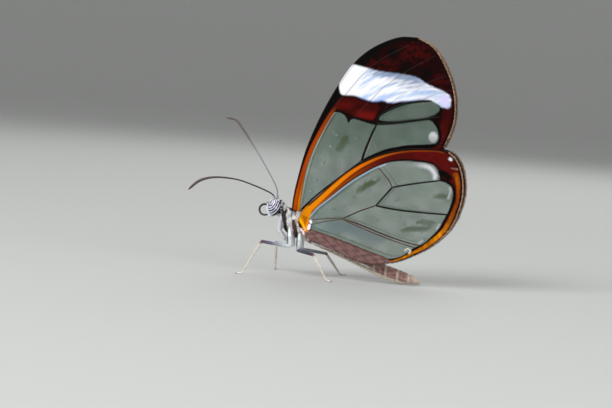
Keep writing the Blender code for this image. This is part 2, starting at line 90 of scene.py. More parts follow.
FOREWING_LENS = (
    (6.25, 21.6), (6.45, 22.2), (7.6, 22.95), (9.2, 23.65), (11.2, 24.4), (13.0, 24.7), (14.0, 23.8),
    (13.5, 22.95), (12.0, 22.3), (10.3, 22.0), (8.0, 21.6),
)
FOREWING_BAND = (
    (1.9, 28.6), (3.5, 28.4), (5.2, 28.1), (6.8, 27.9), (8.8, 27.8), (10.6, 27.6), (11.9, 26.9),
    (12.9, 26.5),
    (14.4, 26.0), (15.3, 25.4), (15.5, 24.6), (15.2, 23.8), (14.3, 23.9), (13.0, 24.5), (11.8, 24.7),
    (10.4, 24.4), (9.0, 24.2), (7.4, 23.9), (6.4, 24.1), (5.3, 23.9), (4.0, 24.1), (2.6, 24.5), (1.0, 24.5),
    (0.6, 25.1), (0.5, 25.9), (0.9, 26.9), (1.3, 27.9),
)
FOREWING_PATCH = (
    (-0.6, 21.9), (0.1, 22.3), (1.6, 22.1), (2.9, 21.6), (4.2, 21.4), (5.4, 21.4), (5.9, 22.2), (6.3, 23.1),
    (5.8, 23.8), (4.6, 23.9), (2.6, 24.4), (0.7, 24.3), (-0.1, 23.4),
)
FOREWING_EMBERS = ((10.0, 31.5), (11.2, 30.6), (4.4, 29.2), (7.0, 29.1), (9.0, 30.2), (13.8, 27.3),
                   (14.7, 25.1))
EMBER_STRETCH = (0.8, 1.0)
FOREWING_SHADES = ((11.9, 27.9), (7.3, 30.5), (4.7, 30.2), (3.1, 29.0), (9.2, 28.6))
FOREWING_SMUDGES = (((0.95, 17.35), (1.6, 18.5), 0.34), ((1.5, 18.3), (1.75, 18.9), 0.2))
FOREWING_SPECKS = (
    (0.2, 19.5), (0.6, 19.1), (-0.1, 17.6), (-0.3, 16.7), (5.9, 18.1), (-1.9, 12.9), (-0.6, 12.7),
    (1.7, 14.4),
    (-2.4, 11.4), (2.4, 17.0), (3.2, 18.9), (-1.1, 15.2),
)
FOREWING_VEINS = (
    (0.16, ((4.2, 16.0), (4.7, 17.8), (5.3, 19.6), (5.9, 21.1))),
    (0.16, ((5.9, 21.1), (7.6, 21.25), (10.3, 21.75), (14.2, 22.6))),
    (0.14, ((5.9, 21.1), (6.15, 22.1), (7.5, 23.1), (9.0, 23.8), (10.8, 24.3), (12.9, 24.6))),
    (0.12, ((-3.4, 9.0), (-1.0, 11.4), (1.8, 13.9), (4.2, 16.0))),
    (0.13, ((4.2, 16.0), (6.0, 17.05), (7.5, 17.75), (8.8, 18.1), (10.2, 18.45), (13.0, 18.8),
            (14.9, 19.1))),
    (0.1, ((2.7, 21.5), (4.4, 23.5), (6.3, 25.8), (9.0, 28.0), (13.0, 30.6))),
    (0.1, ((-0.2, 22.4), (1.3, 24.4), (3.2, 27.0), (5.4, 29.2), (9.4, 31.7))),
    (0.1, ((6.6, 22.9), (8.7, 25.0), (11.4, 26.6), (14.7, 28.0))),
    (0.1, ((10.9, 24.2), (12.4, 25.1), (14.0, 25.8), (15.6, 26.2))),
)
FOREWING_RIM = 0.12
FOREWING_SPOT = (13.45, 19.85)
FOREWING_SPOT_SIZE = (0.72, 0.86)
FOREWING_UNDERLINE = ((-3.3, 9.2), (-1.0, 11.2), (1.8, 13.7))
FOREWING_HOT = ((3.7, 22.0), (5.2, 21.9))
FOREWING_WARM = ((0.6, 23.2), (2.0, 23.2))
FOREWING_BLACK_EDGE = ((8, 11, 14, 17.4, 21, 24, 29, 31.5), (0.1, 0.13, 0.19, 0.36, 0.68, 1.0, 1.1, 0.5))
FOREWING_STRIPE = ((8, 11, 14, 17.4, 21, 22.8), (0.95, 0.85, 0.58, 0.58, 0.52, 0.5))
STRIPE_OUTER = (0.40, 0.045, 0.001)
STRIPE_HEART = (0.37, 0.06, 0.001)
STRIPE_LINING = (0.42, 0.42, 0.38)
FILM_SMUDGE = (0.085, 0.08, 0.01)
FILM_SPECK = (0.5, 0.56, 0.52)
FILM_AT_ROOT = (0.30, 0.42, 0.42)
UNDERLINE = (0.5, 0.44, 0.5)
THIN_VEIN = (0.10, 0.022, 0.016)

# The white band: its upper edge as x and z, its lilac hind end, and its colours
BAND_TOP = ((3, 5, 9, 12, 15), (27.8, 27.0, 26.0, 25.6, 25.4))
BAND_END = (14.6, 24.7)
BAND_END_SIZE = (1.0, 1.2)
BAND_COOL = (0.40, 0.56, 0.86)
BAND_GREY = (0.17, 0.23, 0.37)
BAND_LILAC = (0.68, 0.64, 0.93)
BAND_RIM = (0.08, 0.2, 0.72)
BAND_VEIN = (0.32, 0.28, 0.45)

HINDWING_COSTA = (
    (-3.7, 7.2), (-3.0, 8.8), (-1.65, 10.25), (2.5, 14.4), (5.9, 16.65), (9.3, 17.85), (12.9, 18.3),
    (15.5, 18.1),
    (17.15, 16.6), (17.95, 13.9), (17.78, 11.0), (16.65, 8.0), (14.35, 5.5), (11.9, 4.0),
)
HINDWING_HIND = (
    (-3.2, 6.1), (-2.6, 5.5), (-1.6, 5.0), (0.2, 4.3), (1.9, 3.7), (3.6, 3.1), (5.3, 2.7), (7.1, 2.6),
    (9.0, 2.9), (10.5, 3.35), (11.9, 4.0),
)
HINDWING_CELL = (
    (-2.1, 7.9), (-1.35, 9.15), (0.0, 10.45), (3.0, 13.15), (5.8, 15.1), (7.8, 16.05), (9.1, 16.35),
    (10.7, 16.5),
    (13.3, 16.4), (14.3, 15.9), (14.75, 15.0), (14.9, 14.3), (15.7, 14.05), (16.5, 13.5), (16.75, 12.4),
    (16.4, 10.6), (15.85, 9.3), (15.2, 7.9), (14.2, 6.7), (13.5, 5.95), (12.6, 5.4), (12.0, 5.05),
    (11.4, 4.5),
    (10.4, 3.85), (9.0, 3.45), (7.9, 3.75), (5.8, 4.3), (3.7, 4.95), (0.8, 5.75), (-1.6, 6.35),
)
HINDWING_GLOW = (
    (16.9, 15.2), (17.2, 14.5), (17.4, 13.3), (17.42, 11.9), (17.1, 10.6), (16.6, 9.0), (16.05, 7.75),
    (14.85, 6.45), (13.15, 5.0), (10.9, 3.65), (9.3, 3.05),
)
HINDWING_JOINTS = ((17.6, 12.0), (16.0, 7.35))
HINDWING_PATCH = (
    (-3.8, 7.9), (-3.3, 8.8), (-2.6, 9.4), (-1.9, 9.3), (-2.0, 8.3), (-2.2, 7.4), (-2.15, 6.5), (-2.3, 6.05),
    (-2.65, 6.2), (-3.1, 6.9), (-3.6, 7.4),
)
HINDWING_FOLD = (
    (-1.7, 6.3), (0.8, 5.7), (3.7, 4.9), (5.8, 4.25), (7.9, 3.7), (9.0, 3.3), (9.3, 2.4), (5.3, 2.0),
    (1.9, 3.0), (-1.6, 4.3), (-3.2, 5.4),
)
HINDWING_VEINS = (
    (0.13, ((8.7, 12.9), (6.7, 10.3))),
    (0.11, ((8.7, 12.9), (11.8, 13.65), (15.2, 14.35))),
    (0.07, ((8.7, 12.9), (8.2, 13.7), (7.2, 14.8), (6.6, 15.4))),
    (0.13, ((6.7, 10.3), (9.4, 10.0), (12.8, 9.9), (16.6, 9.9))),
    (0.08, ((6.7, 10.3), (4.4, 9.3), (2.4, 8.2))),
    (0.06, ((2.4, 8.25), (0.4, 8.05), (-2.2, 7.6))),
    (0.05, ((2.4, 8.1), (0.4, 7.7), (-2.2, 6.9))),
    (0.08, ((2.4, 8.25), (5.1, 7.5), (8.3, 6.5), (11.1, 5.8), (13.2, 5.5))),
    (0.07, ((2.4, 8.1), (5.0, 7.2), (8.2, 6.2), (10.9, 5.5), (12.6, 5.1))),
    (0.05, ((-1.7, 6.4), (0.8, 5.75), (3.7, 4.95), (5.8, 4.3), (8.2, 3.65))),
)
HINDWING_RIM = 0.09
HINDWING_HAZE = ((0.6, 7.0), (2.6, 6.9), (7.0, 5.9))
HAZE = (0.20, 0.25, 0.33)
HINDWING_UNDERLINE = ((-2.0, 8.1), (-1.2, 9.2), (0.2, 10.45), (3.1, 13.05), (5.8, 14.95), (7.6, 15.85))
COOL_UNDERLINE = (0.44, 0.52, 0.66)
HINDWING_FROST = (
    (6.9, 15.5), (8.7, 16.05), (10.7, 16.1), (12.6, 16.05), (13.6, 15.75), (14.2, 15.0), (14.2, 14.6),
)
HINDWING_GLINTS = (
    ((16.3, 13.4), (16.4, 12.9), (16.2, 12.1)), ((15.3, 8.5), (15.0, 8.0)), ((13.2, 6.2), (12.8, 5.9)),
)
# Along the front edge, by x: how deep the bright line lies and how wide it is
CREST_DEPTH = ((-3, 0, 5, 9, 14), (0.5, 0.42, 0.36, 0.3, 0.26))
CREST_WIDTH = ((-3, 0, 5, 9, 14), (0.42, 0.3, 0.2, 0.12, 0.08))
RUST = (0.30, 0.05, 0.001)
# Along the glowing line, by share of its length: how bright and how broad it is
GLOW_HEAT = (
    (0, 0.06, 0.12, 0.25, 0.36, 0.45, 0.55, 0.62, 0.8, 1.0),
    (0.2, 0.3, 0.15, 0.12, 0.2, 0.5, 1.0, 0.5, 0.6, 0.6),
)
GLOW_BREADTH = (
    (0, 0.1, 0.2, 0.35, 0.45, 0.58, 0.8, 0.9, 1.0), (0.32, 0.26, 0.2, 0.28, 0.4, 0.36, 0.32, 0.24, 0.12),
)
GLOW_RED = (0.17, 0.012, 0.001)
HINDWING_NOTCH = ((14.95, 15.35), (15.7, 15.05), (16.0, 14.75))
HINDWING_DOT = ((16.0, 17.25), (16.1, 17.15))
HINDWING_DASH = ((16.3, 16.0), (17.35, 15.95))
DASH = (0.5, 0.26, 0.18)
SILK_DARK = (0.13, 0.072, 0.068)
SILK_PALE = (0.24, 0.135, 0.125)
FOLD_EDGE = (0.13, 0.03, 0.02)
# painted highlight: a small curled glint on the hindwing near its hind edge
HINDWING_CURL_GLINT = ((11.0, 4.7), (11.35, 5.0), (11.75, 4.75), (11.55, 4.4))
CURL_GLINT = (0.7, 0.7, 0.64)
PATCH_TRIANGLE = ((-3.2, 8.15), (-2.3, 8.0), (-2.65, 6.8))
PATCH_LINE = ((-3.5, 8.35), (-2.8, 9.3))
PATCH_EDGE = ((-3.55, 7.7), (-3.0, 6.95), (-2.6, 6.4))
PATCH_YELLOW = (0.95, 0.5, 0.001)
PEACH = (0.95, 0.74, 0.66)
PEACH_BROWN = (0.22, 0.09, 0.06)
HINDWING_TUFTS = (((-1.9, 7.5), (-1.85, 7.35)), ((-2.0, 6.9), (-2.1, 6.5)))
TUFT_WHITE = (0.95, 0.88, 0.98)
FRINGE_BELOW = (0.10, 0.055, 0.045)
PALE_FILM = (0.60, 0.63, 0.60)  # how bare membrane looks from its upper side
HINDWING_SMUDGES = (
    ((4.2, 12.1), (5.4, 13.1), 0.3), ((5.2, 12.9), (6.1, 13.4), 0.2), ((14.4, 12.15), (16.2, 12.1), 0.2),
    ((10.6, 7.4), (13.6, 7.7), 0.2), ((12.4, 8.6), (14.2, 8.4), 0.15),
)
HINDWING_SPECKS = (
    (5.2, 13.6), (6.0, 13.9), (6.3, 13.7), (4.9, 11.6), (5.2, 12.1), (8.8, 10.9), (2.0, 9.6), (9.5, 8.8),
    (1.4, 5.9),
    (6.5, 8.1), (9.2, 11.2), (3.1, 10.9), (11.0, 12.1), (10.2, 7.9), (0.6, 9.1), (4.1, 7.0),
)

# Body: its middle line from the tail to the face as (x, z, half height, half width)
BODY_LINE = (
    (13.0, 0.42, 0.12, 0.1), (12.7, 0.5, 0.34, 0.3), (11.8, 0.74, 0.6, 0.58), (10.2, 1.02, 0.84, 0.8),
    (8.2, 1.52, 0.92, 0.86), (6.0, 2.4, 0.94, 0.86), (3.5, 3.35, 0.9, 0.84), (1.0, 4.22, 0.84, 0.78),
    (-0.8, 4.8, 0.74, 0.7), (-1.9, 5.2, 0.66, 0.62), (-2.45, 5.62, 0.9, 0.72), (-3.1, 6.1, 1.3, 0.95),
    (-4.2, 6.95, 1.55, 1.08), (-5.2, 7.73, 1.3, 0.9), (-5.75, 8.17, 0.92, 0.66), (-6.15, 8.46, 0.78, 0.46),
    (-6.6, 8.72, 0.9, 0.52), (-7.0, 8.86, 1.0, 0.56), (-7.4, 8.9, 0.92, 0.52), (-7.65, 8.88, 0.66, 0.4),
    (-7.78, 8.86, 0.3, 0.2),
)
HEAD_FROM = -6.0
ABDOMEN_FROM = -2.2
BELLY_LINE = ((-2.5, 1, 3.5, 6, 8.2, 10.2, 13), (4.6, 3.7, 2.8, 1.9, 1.1, 0.6, 0.2))
BLUE_FUR = (0.01, 0.015, 0.09)
ABDOMEN_RINGS = (-0.6, 1.3, 3.2, 5.0, 6.7, 8.3, 9.9, 11.4)

# Colours on the body, each a soft stroke: colour, half width, and where it runs as (x, z)
BODY_MARKS = (
    ("white", 0.3, ((-4.1, 8.5), (-4.0, 7.7), (-3.85, 7.1))),
    ("cream", 0.16, ((-4.25, 7.9), (-4.15, 7.3))),
    ("brown", 0.26, ((-4.45, 7.2), (-4.3, 6.6), (-4.2, 5.9))),
    ("brown", 0.12, ((-4.75, 7.75), (-4.5, 7.3))),
    ("black_fur_and_gap_shade", 0.33, ((-5.8, 8.6), (-5.66, 7.8), (-5.6, 6.7), (-5.3, 5.7))),
    ("brown", 0.1, ((-5.85, 8.3), (-5.78, 7.5), (-5.7, 6.9))),
    ("white", 0.3, ((-6.4, 8.0), (-6.2, 7.2), (-6.05, 6.4))),
    ("white", 0.34, ((-5.2, 8.65), (-5.2, 8.1), (-5.03, 7.2), (-4.87, 6.2), (-4.7, 5.2))),
    ("white", 0.26, ((-4.8, 8.3), (-4.6, 7.85))),
    ("brown", 0.09, ((-4.9, 8.45), (-4.85, 7.9))),
    ("black_fur_and_gap_shade", 0.15, ((-3.9, 6.15), (-3.97, 5.8))),
    ("white", 0.42, ((-3.55, 6.6), (-3.3, 5.9), (-3.2, 5.2))),
    ("cream", 0.22, ((-2.75, 7.0), (-2.7, 6.5))),
    ("brown", 0.16, ((-2.85, 6.1), (-2.65, 5.5))),
    ("cream", 0.26, ((-2.1, 6.5), (-2.3, 5.7), (-2.5, 5.1))),
    ("white", 0.3, ((-6.45, 9.75), (-6.3, 9.5))),
    ("white", 0.22, ((-6.0, 9.2), (-5.85, 8.9))),
    ("cream", 0.2, ((-5.6, 9.25), (-5.5, 9.0))),
    # painted shade: the next two thin black strokes darken the gaps between the furred lumps
    ("black_fur_and_gap_shade", 0.08, ((-6.2, 9.6), (-6.15, 9.1), (-6.2, 8.6))),
    ("black_fur_and_gap_shade", 0.07, ((-5.75, 9.3), (-5.7, 8.8))),
    ("blue", 0.22, ((-5.25, 9.0), (-5.0, 8.75))),
    ("white", 0.3, ((-7.1, 9.95), (-6.9, 10.0))),
    ("white", 0.3, ((-7.8, 9.5), (-7.7, 9.0))),
    ("black_fur_and_gap_shade", 0.13, ((-6.65, 10.0), (-6.55, 9.4))),
    ("black_fur_and_gap_shade", 0.12, ((-7.6, 9.4), (-7.2, 9.85))),
)

# Furred lumps that stand out from both sides of the body: middle, reach, height
BODY_LUMPS = (
    ((-6.4, 0.35, 9.5), 0.26, 0.16), ((-5.95, 0.45, 9.0), 0.24, 0.17), ((-5.55, 0.55, 8.95), 0.2, 0.14),
    ((-5.15, 0.85, 8.2), 0.34, 0.13), ((-4.1, 1.0, 7.6), 0.3, 0.12), ((-5.05, 0.95, 7.0), 0.4, 0.1),
    ((-3.45, 0.9, 6.1), 0.4, 0.1),
    ((-2.75, 0.7, 6.6), 0.24, 0.14), ((-2.4, 0.6, 5.8), 0.2, 0.1),
)

# Eyes: striped ovals sunk in the sides of the head
EYE_CENTRE = (-7.05, 0.78, 8.82)
EYE_SIZE = (0.8, 0.68, 1.13)
EYE_ROWS = 120
EYE_SIDES = 170
EYE_PITCH = math.radians(10)
STRIPE_CENTRE = (-7.75, 9.75)
STRIPE_STEP = 0.33
EYE_LILAC = (0.70, 0.66, 0.82)
EYE_BLUE = (0.66, 0.74, 0.84)
EYE_DARK = (0.012, 0.012, 0.03)

# Tongue, palps and feelers
TONGUE_CENTRE = (-8.48, 8.38)
TONGUE_RADIUS = 0.76
TONGUE_THICKNESS = 0.3
TONGUE_SWEEP = (math.radians(62), math.radians(345))
TONGUE_COILS = 90
TONGUE_ROWS = 260
TUBE_SIDES = 16  # points round the tongue and a walking leg
FINE_SIDES = 14  # points round a palp, a feeler and a front leg
VEIN_SIDES = 12
VANE_POINTS = 7
PALP_LINE = ((-7.1, 0.35, 7.85), (-7.5, 0.5, 7.72), (-7.85, 0.62, 8.15), (-8.0, 0.66, 8.75),
             (-8.08, 0.66, 9.35))
ANTENNA_LEFT = (
    (-7.05, -0.3, 9.75), (-7.3, -0.5, 10.35), (-7.9, -0.75, 10.8), (-9.7, -1.3, 11.5), (-12.2, -1.9, 12.2),
    (-15.0, -2.5, 12.3), (-17.0, -3.0, 11.7), (-18.4, -3.3, 10.4),
)
ANTENNA_RIGHT = (
    (-6.85, 0.3, 9.75), (-7.0, 0.5, 10.5), (-7.4, 0.9, 11.7), (-9.6, 1.9, 14.8), (-11.2, 2.7, 16.8),
    (-12.8, 3.4, 18.7), (-14.0, 3.9, 19.9), (-15.5, 4.5, 20.1),
)

# Legs: joints from the thorax to the ankle, then a foot that lies outwards on the floor
LEG_JOINTS = {
    "leg_mid_left": ((-4.9, -0.75, 6.6), (-4.7, -1.15, 5.2), (-4.5, -1.4, 3.85), (-7.85, -4.2, 4.45),
                     (-9.9, -5.6, 0.2)),
    "leg_hind_left": ((-3.5, -0.7, 6.2), (-3.35, -1.15, 4.9), (-3.35, -1.4, 3.45), (-0.8, -4.3, 3.25),
                      (1.3, -5.5, 0.2)),
    "leg_mid_right": ((-4.9, 0.75, 6.6), (-4.7, 1.15, 5.2), (-4.5, 1.4, 3.85), (-7.3, 4.2, 3.9),
                      (-7.4, 5.45, 0.2)),
    "leg_hind_right": ((-3.5, 0.7, 6.2), (-3.35, 1.15, 4.9), (-3.35, 1.4, 3.45), (-0.4, 4.3, 2.9),
                       (1.5, 5.5, 0.2)),
}
FOOT_LENGTH = 0.72
KNEE_RUST = (0.30, 0.07, 0.05)
HIP_SHADE = (0.02, 0.025, 0.03)  # painted shadow along the front edge of a hip
FEELER_RINGS = 46
FEELER_BROWN = (0.07, 0.04, 0.03)
FEELER_PALE = (0.42, 0.42, 0.46)
FORELEG_JOINTS = ((-6.0, 0.45, 7.9), (-6.25, 0.6, 7.2), (-6.2, 0.62, 6.2), (-6.35, 0.65, 5.8),
                  (-5.25, 0.65, 4.6))

# View of the model, and the studio
VIEW_TARGET = (-2.97, 0.0, 9.6)
VIEW_DISTANCE = 327.6
VIEW_WIDTH = 81.6
SENSOR_WIDTH = 36.0
LIGHT_TARGET = (0.0, 0.0, 12.0)
LIGHTS = (  # name, place and side length
    ("key_light", (-220.0, -330.0, 330.0), 320.0),
    ("fill_light", (330.0, -260.0, 180.0), 300.0),
    ("back_light", (60.0, 360.0, 300.0), 300.0),
)
FLOOR_ROWS = 59
FLOOR_SIDES = 96
FLOOR_PROFILE = (
    (0.0, 0.0), (300.0, 0.0), (700.0, 0.0), (900.0, 15.0), (1050.0, 80.0), (1150.0, 220.0), (1200.0, 450.0),
    (1210.0, 900.0),
)


def smooth(value, low, high):
    """0 below low, 1 above high and t*t*(3 - 2t) between them."""
    share = np.clip((value - low) / (high - low), 0, 1)
    return share * share * (3 - 2 * share)


def line_distance(points, line):
    """The least distance from each point to the straight stretches of a line."""
    line = np.asarray(line, float)
    if len(line) == 1:
        return np.linalg.norm(points - line[0], axis=1)
    nearest = np.full(len(points), np.inf)
    for start, end in zip(line, line[1:]):
        along = end - start
        share = np.clip((points - start) @ along / max(along @ along, 1e-12), 0, 1)
        nearest = np.minimum(nearest, np.linalg.norm(points - start - share[:, None] * along, axis=1))
    return nearest


def depth_inside(points, outline):
    """Distance to a closed outline, above 0 inside it and below 0 outside, by counting crossings."""
    outline = np.asarray(outline, float)
    following = np.roll(outline, -1, axis=0)
    crossings = np.zeros(len(points), int)
    for (x0, z0), (x1, z1) in zip(outline, following):
        if z0 != z1:
            straddles = (z0 > points[:, 1]) != (z1 > points[:, 1])
            crossings += straddles & (points[:, 0] < x0 + (points[:, 1] - z0) * (x1 - x0) / (z1 - z0))
    distance = line_distance(points, np.concatenate([outline, outline[:1]]))
    return np.where(crossings % 2 == 1, distance, -distance)


def run_along(points):
    """How far along a line each of its points lies."""
    return np.concatenate([[0], np.cumsum(np.linalg.norm(np.diff(points, axis=0), axis=1))])


def unit(vectors):
    """Vectors, one in each row, brought to length 1."""
    return vectors / np.linalg.norm(vectors, axis=1)[:, None]


def spread_evenly(points, count):
    """The same line with this many points, evenly far apart along it."""
    points = np.asarray(points, float)
    run = run_along(points)
    places = np.linspace(0, run[-1], count)
    return np.stack([np.interp(places, run, column) for column in points.T], axis=1)


def curve_through(points, count, closed=False):
    """A Catmull-Rom curve: on each stretch b + t(c-a)/2 + t^2(2a-5b+4c-d)/2 + t^3(3b-a-3c+d)/2."""
    points = np.asarray(points, float)
    ends = (points[-1:], points[:2]) if closed else (2 * points[:1] - points[1:2],
                                                     2 * points[-1:] - points[-2:-1])
    padded = np.concatenate([ends[0], points, ends[1]])
    t = np.linspace(0, 1, 24, endpoint=False)[None, :, None]
    a, b, c, d = (padded[k : len(padded) - 3 + k, None] for k in range(4))
    bend = (2 * a - 5 * b + 4 * c - d) * t**2 + (3 * b - a - 3 * c + d) * t**3
    line = (b + 0.5 * ((c - a) * t + bend)).reshape(-1, points.shape[1])
    last = points[:1] if closed else points[-1:]
    return spread_evenly(np.concatenate([line, last]), count)


def rounded_corners(points, radius, count):
    """A bent line whose inner corners are quadratic arcs (1-t)^2 s + 2t(1-t) c + t^2 e."""
    points = np.asarray(points, float)
    pieces = [points[:1]]
    t = np.linspace(0, 1, 9)[:, None]
    for before, corner, after in zip(points, points[1:], points[2:]):
        start = corner + (before - corner) / np.linalg.norm(before - corner) * radius
        end = corner + (after - corner) / np.linalg.norm(after - corner) * radius
        pieces.append((1 - t) ** 2 * start + 2 * t * (1 - t) * corner + t**2 * end)
    return spread_evenly(np.concatenate(pieces + [points[-1:]]), count)


def cloud(points, size, seed):
    """Soft blotches from -1 to 1: the mean of eight sine waves of about this size in random directions."""
    rng = np.random.default_rng(seed)
    waves = rng.normal(size=(8, points.shape[1]))
    waves *= (2 * math.pi / size * rng.uniform(0.6, 1.5, 8) / np.linalg.norm(waves, axis=1))[:, None]
    return np.clip(np.sin(points @ waves.T + rng.uniform(0, 2 * math.pi, 8)).mean(axis=1) * 2.2, -1, 1)


def frames_along(path):
    """Two unit vectors across a path at each of its points: the level one, and the one square to it."""
    tangent = unit(np.gradient(path, axis=0))
    across = np.zeros_like(path)
    across[0] = np.cross(tangent[0], (0.0, 0.0, 1.0))
    if np.linalg.norm(across[0]) < 0.2:
        across[0] = np.cross(tangent[0], (1.0, 0.0, 0.0))
    for k in range(len(path)):
        carried = across[max(k - 1, 0)]
        carried = carried - (carried @ tangent[k]) * tangent[k]
        across[k] = carried / np.linalg.norm(carried)
    return tangent, across, np.cross(across, tangent)


def rings_along(path, wide, high, sides):
    """An oval of half width w and half height h carried along a path: p + w cos(a) across + h sin(a) up."""
    across, up = frames_along(path)[1:]
    angle = np.arange(sides) * 2 * math.pi / sides
    wide = np.broadcast_to(wide, len(path))[:, None, None]
    high = np.broadcast_to(high, len(path))[:, None, None]
    ring = np.cos(angle)[None, :, None] * across[:, None] * wide
    ring = ring + np.sin(angle)[None, :, None] * up[:, None] * high
    return path[:, None] + ring


def closed_skin(rings):
    """Points and faces of a row of rings joined side by side, with a fan over each end."""
    rows, sides = rings.shape[:2]
    points = np.concatenate([rings.reshape(-1, 3), rings[:1].mean(axis=1), rings[-1:].mean(axis=1)])
    place = np.arange(rows * sides).reshape(rows, sides)
    beside = np.roll(place, -1, axis=1)
    walls = np.stack([place[:-1], place[1:], beside[1:], beside[:-1]], axis=-1).reshape(-1, 4)
    first = np.stack([np.full(sides, rows * sides), place[0], beside[0]], axis=1)
    last = np.stack([np.full(sides, rows * sides + 1), beside[-1], place[-1]], axis=1)
    return points, [walls, np.concatenate([first, last])]


def facing_out(points, faces):
    """The same faces, turned round if the volume they close, a sum of a.(b x c)/6, is below 0."""
    volume = 0.0
    for group in faces:
        for k in range(1, group.shape[1] - 1):
            a, b, c = points[group[:, 0]], points[group[:, k]], points[group[:, k + 1]]
            volume += (a * np.cross(b, c)).sum()
    return [group[:, ::-1] for group in faces] if volume < 0 else faces


def add_piece(name, points, faces, finish, tint=None, cover=None, corner_uv=None, stands_for=()):
    """Puts a mesh, given in millimetres, into the scene as a piece that goes with the whole insect."""
    mesh = bpy.data.meshes.new(name)
    corners = np.concatenate([group.ravel() for group in faces]).astype(np.int32)
    sizes = np.concatenate([np.full(len(group), group.shape[1]) for group in faces])
    mesh.vertices.add(len(points))
    mesh.vertices.foreach_set("co", (points * MM).astype(np.float32).ravel())
    mesh.loops.add(len(corners))
    mesh.loops.foreach_set("vertex_index", corners)
    mesh.polygons.add(len(sizes))
    mesh.polygons.foreach_set("loop_start", (np.cumsum(sizes) - sizes).astype(np.int32))
    mesh.update(calc_edges=True)
    mesh.polygons.foreach_set("use_smooth", np.ones(len(sizes), bool))
    if tint is not None:
        rgba = np.ones((len(points), 4), np.float32)
        rgba[:, :3] = tint
        mesh.attributes.new("tint", "FLOAT_COLOR", "POINT").data.foreach_set("color", rgba.ravel())
    if cover is not None:
        mesh.attributes.new("cover", "FLOAT", "POINT").data.foreach_set("value", cover.astype(np.float32))
    if corner_uv is not None:
        mesh.uv_layers.new(name="OFBake").data.foreach_set("uv", corner_uv.astype(np.float32).ravel())
    mesh.materials.append(finish)
    piece = bpy.data.objects.new(name, mesh)
    bpy.context.scene.collection.objects.link(piece)
    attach(piece, "root")
    if stands_for:
        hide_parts(*stands_for)
    return piece


def joined(parts):
    """Many (points, faces, tint) parts as one, the faces counted on from part to part."""
    points = np.concatenate([part[0] for part in parts])
    tint = np.concatenate([np.broadcast_to(part[2], (len(part[0]), 3)) for part in parts])
    groups, start = {}, 0
    for part in parts:
        for group in facing_out(part[0], part[1]):
            groups.setdefault(group.shape[1], []).append(group + start)
        start += len(part[0])
    return points, [np.concatenate(group) for group in groups.values()], tint


def grain_group():
    """A node group of fine irregular grain: a colour factor round 1 and a height, both from noise."""
    known = bpy.data.node_groups.get("fine_grain")
    if known:
        return known
    group = bpy.data.node_groups.new("fine_grain", "ShaderNodeTree")
    for label, kind, value in (("Vector", "NodeSocketVector", None), ("Scale", "NodeSocketFloat", 4000.0),
                               ("Strength", "NodeSocketFloat", 0.3)):
        socket = group.interface.new_socket(label, in_out="INPUT", socket_type=kind)
        if value is not None:
            socket.default_value = value
    group.interface.new_socket("Shade", in_out="OUTPUT", socket_type="NodeSocketFloat")
    group.interface.new_socket("Height", in_out="OUTPUT", socket_type="NodeSocketFloat")
    nodes, links = group.nodes, group.links
    entry = nodes.new("NodeGroupInput")
    leave = nodes.new("NodeGroupOutput")
    noise = nodes.new("ShaderNodeTexNoise")
    noise.inputs["Detail"].default_value = 4.0
    cells = nodes.new("ShaderNodeTexVoronoi")
    centred = nodes.new("ShaderNodeMath")
    centred.operation = "SUBTRACT"
    centred.inputs[1].default_value = 0.5
    shade = nodes.new("ShaderNodeMath")
    shade.operation = "MULTIPLY_ADD"
    shade.inputs[2].default_value = 1.0
    height = nodes.new("ShaderNodeMath")
    height.operation = "ADD"
    for node in (noise, cells):
        links.new(entry.outputs["Vector"], node.inputs["Vector"])
        links.new(entry.outputs["Scale"], node.inputs["Scale"])
    links.new(noise.outputs["Fac"], centred.inputs[0])
    links.new(centred.outputs[0], shade.inputs[0])
    links.new(entry.outputs["Strength"], shade.inputs[1])
    links.new(noise.outputs["Fac"], height.inputs[0])
    links.new(cells.outputs["Distance"], height.inputs[1])
    links.new(shade.outputs[0], leave.inputs["Shade"])
    links.new(height.outputs[0], leave.inputs["Height"])
    return group


def painted_material(name, roughness, grain_scale, grain, bump, clear=None, sheen=0.0, coat=0.0,
                     specular=0.5):
    """A surface that takes its colour from the piece's own tint, broken up by fine grain.

    With clear given, alpha is clear + (1 - clear) * cover, so bare membrane shows through, not scales."""
    made = bpy.data.materials.new(name)
    made.use_nodes = True
    nodes, links = made.node_tree.nodes, made.node_tree.links
    shader = nodes["Principled BSDF"]
    shader.inputs["Roughness"].default_value = roughness
    shader.inputs["Sheen Weight"].default_value = sheen
    shader.inputs["Coat Weight"].default_value = coat
    shader.inputs["Coat Roughness"].default_value = 0.1
    shader.inputs["Specular IOR Level"].default_value = specular
    tint = nodes.new("ShaderNodeAttribute")
    tint.attribute_name = "tint"
    place = nodes.new("ShaderNodeTexCoord")
    fine = nodes.new("ShaderNodeGroup")
    fine.node_tree = grain_group()
    fine.inputs["Scale"].default_value = grain_scale
    fine.inputs["Strength"].default_value = grain
    mix = nodes.new("ShaderNodeVectorMath")
    mix.operation = "SCALE"
    relief = nodes.new("ShaderNodeBump")
    relief.inputs["Strength"].default_value = bump
    relief.inputs["Distance"].default_value = 0.1 * MM
    links.new(place.outputs["Object"], fine.inputs["Vector"])
    links.new(tint.outputs["Color"], mix.inputs[0])
    links.new(fine.outputs["Shade"], mix.inputs["Scale"])
    links.new(mix.outputs[0], shader.inputs["Base Color"])
    links.new(fine.outputs["Height"], relief.inputs["Height"])
    links.new(relief.outputs["Normal"], shader.inputs["Normal"])
    if clear is not None:
        cover = nodes.new("ShaderNodeAttribute")
        cover.attribute_name = "cover"
        for label, bare, full in (("Alpha", clear, 1.0), ("Roughness", roughness, 0.75)):
            blend = nodes.new("ShaderNodeMath")
            blend.operation = "MULTIPLY_ADD"
            blend.inputs[1].default_value = full - bare
            blend.inputs[2].default_value = bare
            links.new(cover.outputs["Fac"], blend.inputs[0])
            links.new(blend.outputs[0], shader.inputs[label])
    return made


